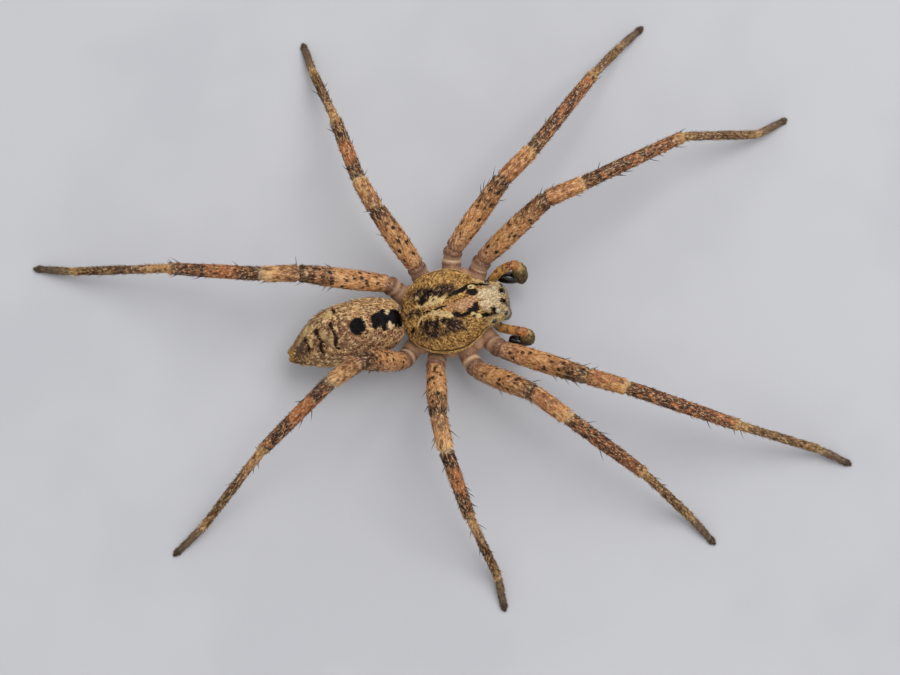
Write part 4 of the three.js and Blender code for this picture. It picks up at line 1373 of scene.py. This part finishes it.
# %% [markdown]
# ## Eyes, fangs and claws
#
# Eyes are the only glassy things on the animal, so each is a fine ball of its own in the place of its CAD
# node. The rear middle pair looks pale, as its mirror layer throws light back. Fangs and claws are smooth
# horn. They are made like the legs, as tapered sleeves along a bent line.

# %% Eyes
for name, (centre, radius) in eyes.items():
    bm = bmesh.new()
    bmesh.ops.create_uvsphere(bm, u_segments=48, v_segments=24, radius=radius * MM)
    bmesh.ops.translate(bm, verts=bm.verts, vec=Vector(to_scene(centre)))
    eye = new_object(name.replace("eye_", "lens_"), bm)
    pale = "posterior_median" in name
    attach(eye, "root")
    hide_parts(name)
    eye.data.materials.append(pale_lens if pale else dark_lens)
print(len(eyes), "lenses")

# %% Fangs
FANG_PATH = ((0.48, -3.74, 0.72), (0.46, -3.68, 0.48), (0.36, -3.35, 0.38), (0.24, -2.85, 0.6))
FANG_RADII, FANG_ELBOW = (0.17, 0.035), 0.3
POINT_STARTS, POINT_LENGTH, POINT_CUT = 0.96, 0.04, 0.9


def horn_place(path, thick, thin, reference):
    def place(u, v):
        point = np.clip((u - POINT_STARTS) / POINT_LENGTH, 0, POINT_CUT)
        radius = (thick + (thin - thick) * u**0.8) * np.sqrt(1 - point**2)
        return tube_points(path, u * path["distance"][-1], v, radius, reference)

    return place


for side, sign in (("L", 1), ("R", -1)):
    path = route([(sign * x, y, z) for x, y, z in FANG_PATH], FANG_ELBOW)
    bm, _, _ = sleeve(horn_place(path, *FANG_RADII, (1.0, 0, 0)), rings=40, sides=20)
    to_metres(bm)
    fang = new_object("fang_horn_" + side, bm)
    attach(fang, "root")
    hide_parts("fang_" + side)
    fang.data.materials.append(fang_horn)
    print(fang.name, round(path["distance"][-1], 2), "mm long")

# %% Claws
CLAW_RADII, CLAW_ELBOW = (0.035, 0.010), 0.08
CLAW_SPREAD, CLAW_REACH, CLAW_RISE = 0.05, 0.17, 0.07
CLAW_ROOT, CLAW_HUMP_AT, CLAW_HUMP, CLAW_FLARE = 0.15, 0.7, 0.02, 0.2
for name, path in leg_routes.items():
    tip = path["line"][-1]
    ahead = unit((tip - path["line"][-2]) * (1, 1, 0))
    aside = np.array([-ahead[1], ahead[0], 0])
    both = bmesh.new()
    for sign in (-1, 1):
        root = tip + sign * CLAW_SPREAD * aside + (0, 0, CLAW_RISE)
        hump = root + CLAW_REACH * CLAW_HUMP_AT * ahead + (0, 0, CLAW_HUMP)
        point = root + CLAW_REACH * (ahead + CLAW_FLARE * sign * aside) - (0, 0, CLAW_RISE)
        curve = route([root - CLAW_ROOT * ahead, hump, point], CLAW_ELBOW)
        bm, _, _ = sleeve(horn_place(curve, *CLAW_RADII, (0, 0, 1.0)), rings=14, sides=8)
        to_metres(bm)
        one = bpy.data.meshes.new("one_claw")
        bm.to_mesh(one)
        both.from_mesh(one)
        bm.free()
        bpy.data.meshes.remove(one)
    claws = new_object("claws_" + name, both)
    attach(claws, "root")
    claws.data.materials.append(fang_horn)
print("two claws at each of", len(leg_routes), "feet")

# %% [markdown]
# ## One hair, many thousand times
#
# The photo shows short hair that lies close and follows the body: outwards from the groove on the back,
# tailwards on the abdomen, and towards the claws on the legs. Particle hair would not survive an export, so
# every hair is a thin three-sided cone of real mesh. One hair is modelled once, and arrays place its
# copies: each takes a random spot on its zone, weighted by area, and lies along the coat there.

# %% One hair as a pattern
bm = bmesh.new()
bmesh.ops.create_cone(bm, cap_ends=True, segments=3, radius1=1.0, radius2=0.0, depth=1.0)
bmesh.ops.remove_doubles(bm, verts=bm.verts, dist=1e-5)
sloping = [e for e in bm.edges if abs(e.verts[0].co.z - e.verts[1].co.z) > 0.5]
bmesh.ops.subdivide_edges(bm, edges=sloping, cuts=1)
bmesh.ops.recalc_face_normals(bm, faces=bm.faces)
bm.verts.index_update()
HAIR_POINTS = np.array([v.co for v in bm.verts]) + (0, 0, 0.5)
HAIR_FACES = [[v.index for v in face.verts] for face in bm.faces]
HAIR_TRIANGLES = sum(len(face) - 2 for face in HAIR_FACES)
bm.free()
print("one hair:", len(HAIR_POINTS), "points,", HAIR_TRIANGLES, "triangles")

# %% Where hairs grow and how they lie
# A zone is cut into cells, and a cell gets hairs by its area and its weight.
CELLS_ALONG, CELLS_ROUND = 200, 48
NUDGE = 0.002
ROOT_SINK = 0.025
SHORTEST, LONGEST = 0.65, 1.25
LEAST_LEAN, MOST_LEAN, LEAN_SPREAD = 2, 85, 0.25


def grow(zone_name, seed, count, length, radius, lean, lie=None, weight=None, spread=0.22, droop=0.5,
         dark=1.0):
    """Hairs on a zone: length and root radius in mm, lean off the skin in degrees, a lie and a weight.

    spread, in radians, is how far hairs turn from the lie, droop how much they bend back to the skin, and
    dark scales the shade, so that 0 is the darkest.
    """
    zone = zones[zone_name]
    place = zone["place"]
    draw = np.random.default_rng(seed)
    edge_u, edge_v = np.linspace(0, 1, CELLS_ALONG + 1), np.linspace(0, 1, CELLS_ROUND + 1)
    u, v = [part.ravel() for part in np.meshgrid(edge_u, edge_v, indexing="ij")]
    grid = place(u, v).reshape(CELLS_ALONG + 1, CELLS_ROUND + 1, 3)
    tilt = np.cross(grid[1:, :-1] - grid[:-1, :-1], grid[:-1, 1:] - grid[:-1, :-1]).reshape(-1, 3)
    centres = ((grid[1:, 1:] + grid[:-1, :-1]) / 2).reshape(-1, 3)
    outwards = np.sign(((centres - centres.mean(axis=0)) * tilt).sum())
    u, v = [part.ravel() for part in np.meshgrid(
        (edge_u[1:] + edge_u[:-1]) / 2, (edge_v[1:] + edge_v[:-1]) / 2, indexing="ij")]
    share = np.linalg.norm(tilt, axis=1)
    if weight is not None:
        share = share * weight(u, v, centres)
    cell = draw.choice(share.size, count, p=share / share.sum())
    u = (cell // CELLS_ROUND + draw.random(count)) / CELLS_ALONG
    v = (cell % CELLS_ROUND + draw.random(count)) / CELLS_ROUND
    points = place(u, v)
    along = place(np.minimum(u + NUDGE, 1), v) - place(np.maximum(u - NUDGE, 0), v)
    round_about = place(u, np.minimum(v + NUDGE, 1)) - place(u, np.maximum(v - NUDGE, 0))
    normal = unit(np.cross(along, round_about)) * outwards
    heading = unit(along) if lie is None else lie(points)
    heading = unit(heading - normal * (heading * normal).sum(axis=1, keepdims=True))
    side = np.cross(normal, heading)
    turn = draw.normal(0, spread, count)[:, None]
    heading = heading * np.cos(turn) + side * np.sin(turn)
    rise = np.radians(np.clip(draw.normal(lean, lean * LEAN_SPREAD, count), LEAST_LEAN, MOST_LEAN))[:, None]
    ahead = heading * np.cos(rise) + normal * np.sin(rise)
    side = unit(np.cross(normal, heading))
    size = (length(u, v, points) if callable(length) else length) * draw.uniform(SHORTEST, LONGEST, count)
    place_mark, band = zone["mark"](u, v, points)
    return {
        "root": points - normal * ROOT_SINK, "ahead": ahead, "side": side, "up": np.cross(ahead, side),
        "bend": -normal * np.sin(rise) * droop, "size": size, "radius": np.full(count, radius),
        "place": place_mark, "band": band, "shade": draw.random(count) * dark, "u": u, "v": v,
    }


print("cells in each zone:", CELLS_ALONG * CELLS_ROUND)

# %% A coat as one mesh
PATCH = 0.003


def coat(name, parts, material, strip_of=None):
    """One mesh from several growths of hairs, with the marks, shades and bake patches of each hair."""
    strip_of = strip_of or [0] * len(parts)
    strips = max(strip_of) + 1
    for strip, part in zip(strip_of, parts):
        part["strip"] = np.full(len(part["u"]), strip)
    hairs = {key: np.concatenate([part[key] for part in parts]) for key in parts[0]}
    count, corners = len(hairs["u"]), len(HAIR_POINTS)
    x, y, t = HAIR_POINTS[:, 0], HAIR_POINTS[:, 1], HAIR_POINTS[:, 2]
    size = hairs["size"][:, None, None]
    spine = hairs["ahead"][:, None, :] * t[:, None] + hairs["bend"][:, None, :] * (t**2)[:, None]
    girth = (1 + t)[:, None] * hairs["radius"][:, None, None]
    round_it = hairs["side"][:, None, :] * x[:, None] + hairs["up"][:, None, :] * y[:, None]
    points = hairs["root"][:, None, :] + spine * size + round_it * girth
    points[..., 2] = np.maximum(points[..., 2], 0.0)
    mesh = bpy.data.meshes.new(name)
    mesh.vertices.add(count * corners)
    mesh.vertices.foreach_set("co", to_scene(points.reshape(-1, 3)).astype(np.float32).ravel())
    loops = np.concatenate(HAIR_FACES)
    lengths = np.array([len(face) for face in HAIR_FACES])
    starts = np.cumsum(lengths) - lengths
    owner = np.arange(count)[:, None]
    vertex = (owner * corners + loops).ravel()
    mesh.loops.add(len(vertex))
    mesh.loops.foreach_set("vertex_index", vertex.astype(np.int32))
    mesh.polygons.add(count * len(lengths))
    mesh.polygons.foreach_set("loop_start", (owner * len(loops) + starts).ravel().astype(np.int32))
    mesh.update(calc_edges=True)
    mesh.validate()
    for key, kind in (("place", "FLOAT_VECTOR"), ("band", "FLOAT"), ("shade", "FLOAT")):
        set_attribute(mesh, key, kind, np.repeat(hairs[key], corners, axis=0))
    set_attribute(mesh, "tip", "FLOAT", np.tile(t, count))
    spot = np.stack([(hairs["strip"] + hairs["v"]) / strips, hairs["u"]], axis=1) * (1 - PATCH)
    spot = spot[:, None, :] + PATCH * np.stack([(x + 1) / 2, t], axis=1)
    bake_map = mesh.uv_layers.new(name="OFBake")
    bake_map.data.foreach_set("uv", spot.reshape(-1, 2)[vertex].astype(np.float32).ravel())
    mesh.materials.append(material)
    mesh.shade_smooth()
    piece = bpy.data.objects.new(name, mesh)
    bpy.context.scene.collection.objects.link(piece)
    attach(piece, "root")
    print(name, count, "hairs,", count * HAIR_TRIANGLES, "triangles")


# %% [markdown]
# ## The body's coat
#
# On the back the hairs point away from the groove like spokes. They stop short of the eyes and leave the
# dark line inside the rim bare. Longer, finer hairs on the head point forwards. On the abdomen all point to
# the tail, a little longer than on the back, but for some that reach over the waist to the head.

# %% Coat of the carapace
SPOKES_FROM = np.array([0.05, 0.45, 2.2])
# count, length and root radius in mm, and lean off the skin in degrees
BACK_HAIRS, BACK_HAIR, BACK_HAIR_RADIUS, BACK_LEAN = 15500, 0.155, 0.020, 19
HEAD_HAIR = (2600, 0.22, 0.012, 34)
EYE_CLEARANCE = 0.05
BARE_RIM, HAIRY_EDGE = 0.945, 0.972
HEAD_BEGINS, HEAD_HAIR_BEGINS = -2.3, -2.4
HAIR_BELOW, HEAD_SHORTENING = 0.1, 0.25


def from_groove(points):
    return unit(points - SPOKES_FROM)


def towards(x, y, z):
    """A lie that is the same all over a zone."""
    return lambda points: np.broadcast_to(np.array([x, y, z]), points.shape)


def clear_of_eyes(points):
    free = np.ones(len(points))
    for centre, radius in eyes.values():
        free *= np.linalg.norm(points - centre, axis=1) > radius + EYE_CLEARANCE
    return free


def on_back(u, v, points):
    """All of the arch but the line inside its rim, and a thin growth under the body."""
    out = np.abs(np.cos(2 * math.pi * v))
    arch = (v < 0.5) & ((out < BARE_RIM) | (out > HAIRY_EDGE) | (points[:, 1] < HEAD_BEGINS))
    return (arch * 1.0 + HAIR_BELOW * (v > 0.55) * (v < 0.95)) * clear_of_eyes(points)


def back_length(u, v, points):
    return BACK_HAIR * (1 - HEAD_SHORTENING + HEAD_SHORTENING * smooth_step(points[:, 1], -3.0, -1.5))


def on_head(u, v, points):
    return (points[:, 1] < HEAD_HAIR_BEGINS) * (v < 0.5) * clear_of_eyes(points)


forwards = towards(0.0, -1.0, -0.5)
back_hairs = grow("prosoma", 11, BACK_HAIRS, back_length, BACK_HAIR_RADIUS, BACK_LEAN,
                  from_groove, on_back, spread=0.25)
head_hairs = grow("prosoma", 12, *HEAD_HAIR, forwards, on_head, spread=0.5)
coat("coat_carapace", [back_hairs, head_hairs], hair("carapace hair", carapace_colour))

# %% Coat of the abdomen
# count, length and root radius in mm, and lean off the skin in degrees
ABDOMEN_HAIR = (15500, 0.17, 0.019, 20)
LONG_ABDOMEN_HAIR = (900, 0.40, 0.012, 34)
TAIL_HAIR = (420, 0.26, 0.013, 22)
WAIST_HAIR = (900, 0.30, 0.013, 30)
TAIL_BEGINS, WAIST_ENDS, WAIST_SIDES = 8.5, 2.75, 2.7


def over_the_waist(u, v, points):
    return (points[:, 1] < WAIST_ENDS) * (points[:, 2] > WAIST_SIDES) * 1.0


def round_the_tail(u, v, points):
    return (points[:, 1] > TAIL_BEGINS) * 1.0


to_tail, to_head = towards(0.0, 1.0, -0.15), towards(0.0, -1.0, 0.15)
coat("coat_abdomen", [
    grow("abdomen", 21, *ABDOMEN_HAIR, to_tail, spread=0.5),
    grow("abdomen", 22, *LONG_ABDOMEN_HAIR, to_tail, spread=0.35),
    grow("abdomen", 24, *TAIL_HAIR, to_tail, round_the_tail, spread=0.4),
    grow("abdomen", 23, *WAIST_HAIR, to_head, over_the_waist, spread=0.5),
], hair("abdomen hair", abdomen_colour))

# %% [markdown]
# ## The legs' coat
#
# Each leg has four kinds of hair. Short hair lies along it to the claws. Longer bristles stand out and
# soften its outline. A dense brush covers the foot from the middle of its long segment, with a tuft at the
# claws, which lets this spider climb smooth walls. A few dark spines stand on the sides and the underside,
# from the middle of the femur to the heel.

# %% Coats of the legs
# count, length and root radius in mm, and lean off the skin in degrees
SHORT_HAIRS, HAIR_ON_FEMUR, HAIR_ON_FOOT, SHORT_HAIR_RADIUS, SHORT_HAIR_LEAN = 8200, 0.22, 0.17, 0.015, 16
BRISTLE = (1500, 0.30, 0.012, 36)
BRUSH_HAIR = (1500, 0.20, 0.011, 42)
TUFT_HAIR = (260, 0.30, 0.013, 35)
SPINE = (26, 0.75, 0.028, 34)
# where each kind starts on the band, and how thinly short hair grows before the hip
HAIR_FROM, BRISTLES_FROM, BRUSH_FROM, TUFT_FROM, SPINES_FROM, SPINES_TO = 0.95, 1.1, 4.4, 5.82, 1.5, 4.8
HAIR_OF_COXA = 0.05
SIDE_SHARE = 0.04


def by_band(zone, rule):
    """A weight or a length that a rule reads off the band and the turn round the leg."""
    mark = zones[zone]["mark"]
    return lambda u, v, points: rule(mark(u, v, points)[1], v)


def short_hair_length(band, v):
    return HAIR_ON_FEMUR + (HAIR_ON_FOOT - HAIR_ON_FEMUR) * smooth_step(band, 2.9, 4.6)


def beyond(first, least=0.0):
    return lambda band, v: least + (band > first)


def beside_and_below(band, v):
    return (band > SPINES_FROM) * (band < SPINES_TO) * ((v > 0.5 - SIDE_SHARE) | (v < SIDE_SHARE))


front_leg_hair = hair("front leg hair", front_leg_colour)
rear_leg_hair = hair("rear leg hair", rear_leg_colour)
for index, name in enumerate(POSE):
    zone, seed = "leg_" + name, 100 + 10 * index
    rules = [beyond(HAIR_FROM, HAIR_OF_COXA), beyond(BRISTLES_FROM), beyond(BRUSH_FROM), beyond(TUFT_FROM)]
    short, long, brush, tuft, spines = [by_band(zone, rule) for rule in [*rules, beside_and_below]]
    coat("coat_leg_" + name, [
        grow(zone, seed, SHORT_HAIRS, by_band(zone, short_hair_length), SHORT_HAIR_RADIUS, SHORT_HAIR_LEAN,
             weight=short),
        grow(zone, seed + 1, *BRISTLE, weight=long, droop=0.3),
        grow(zone, seed + 2, *BRUSH_HAIR, weight=brush, droop=0.3),
        grow(zone, seed + 3, *TUFT_HAIR, weight=tuft, spread=0.5),
        grow(zone, seed + 4, *SPINE, weight=spines, spread=0.3, droop=0.2, dark=0.0),
    ], front_leg_hair if name[1] in "12" else rear_leg_hair)

# %% Coat of the palps
# count, length and root radius in mm, and lean off the skin in degrees
PALP_HAIR, PALP_TIP_HAIR = (1900, 0.18, 0.014, 20), (1500, 0.24, 0.013, 34)
SHAFT_BEGINS, TIP_BEGINS = 0.3, 0.7


def on_shaft(u, v, points):
    return (u > SHAFT_BEGINS) * 1.0


def on_tip(u, v, points):
    return (u > TIP_BEGINS) * 1.0


palp_hairs = []
for side, seed in (("L", 301), ("R", 401)):
    palp_hairs.append(grow("palp_" + side, seed, *PALP_HAIR, weight=on_shaft))
    palp_hairs.append(grow("palp_" + side, seed + 1, *PALP_TIP_HAIR, weight=on_tip))
coat("coat_palps", palp_hairs, hair("palp hair", palp_colour), strip_of=[0, 0, 1, 1])

# %% Pale fringe over the jaws
# count, length and root radius in mm, and lean off the skin in degrees
BROW_HAIR, JAW_HAIR = (1500, 0.30, 0.013, 30), (900, 0.20, 0.012, 24)
FACE_BEGINS, BROW_LOW, BROW_HIGH = -3.6, 2.6, 3.35


def front_of_jaw(u, v, points):
    return (points[:, 1] < FACE_BEGINS) * 1.0


def on_brow(u, v, points):
    height = points[:, 2]
    return (points[:, 1] < FACE_BEGINS) * (height < BROW_HIGH) * (height > BROW_LOW) * clear_of_eyes(points)


fringe = [grow("prosoma", 501, *BROW_HAIR, forwards, on_brow, spread=0.5)]
for side, seed in (("L", 502), ("R", 503)):
    fringe.append(grow("jaw_" + side, seed, *JAW_HAIR, weight=front_of_jaw, spread=0.4))
coat("coat_fringe", fringe, hair("fringe hair", clouded("fringe")), strip_of=[0, 1, 2])

# %% [markdown]
# ## The stage
#
# A still model is shown on a plain ground, so that nothing competes with it. The floor is matt paint, rolled
# on in a pale grey: it throws light evenly, has no shine, and takes the soft shadows under legs and body.
# The light comes from all round, as on a dull day, with one wide lamp to model the form.

# %% Floor
bpy.context.scene.view_settings.view_transform = "Standard"
FLOOR_HALF = 1.0
PAINT_CLOUD = 10.0
PAINT_ROUGHNESS = 0.9
bm = bmesh.new()
bmesh.ops.create_grid(bm, x_segments=1, y_segments=1, size=FLOOR_HALF)
floor = new_object("floor", bm)
matt_paint, tree, shader = new_material("pale matt floor")
soft_cloud = grain(tree, add(tree, "ShaderNodeTexCoord", out="Object"), PAINT_CLOUD * MM)
tone = paint(tree, linear("#b5b5b8"), [("#b0b0b4", between(tree, soft_cloud, 0.40, 0.60))])
tree.links.new(tone, shader.inputs["Base Color"])
shader.inputs["Roughness"].default_value = PAINT_ROUGHNESS
floor.data.materials.append(matt_paint)
print("floor", 2 * FLOOR_HALF, "m wide")

# %% Light
SKY_COLOUR, SKY_STRENGTH = (0.97, 0.98, 1.0, 1.0), 0.75
LAMP_PLACE, LAMP_SIZE, LAMP_POWER = (0.1, -0.15, 0.35), 0.3, 1.1
world = bpy.data.worlds.new("studio")
world.use_nodes = True
sky = world.node_tree.nodes["Background"]
sky.inputs["Color"].default_value = SKY_COLOUR
sky.inputs["Strength"].default_value = SKY_STRENGTH
bpy.context.scene.world = world
lamp = bpy.data.objects.new("key", bpy.data.lights.new("key", "AREA"))
lamp.data.size = LAMP_SIZE
lamp.data.energy = LAMP_POWER
lamp.location = LAMP_PLACE
lamp.rotation_euler = (-lamp.location).to_track_quat("-Z", "Y").to_euler()
bpy.context.scene.collection.objects.link(lamp)
print("lamp", LAMP_POWER, "W, sky", SKY_STRENGTH)
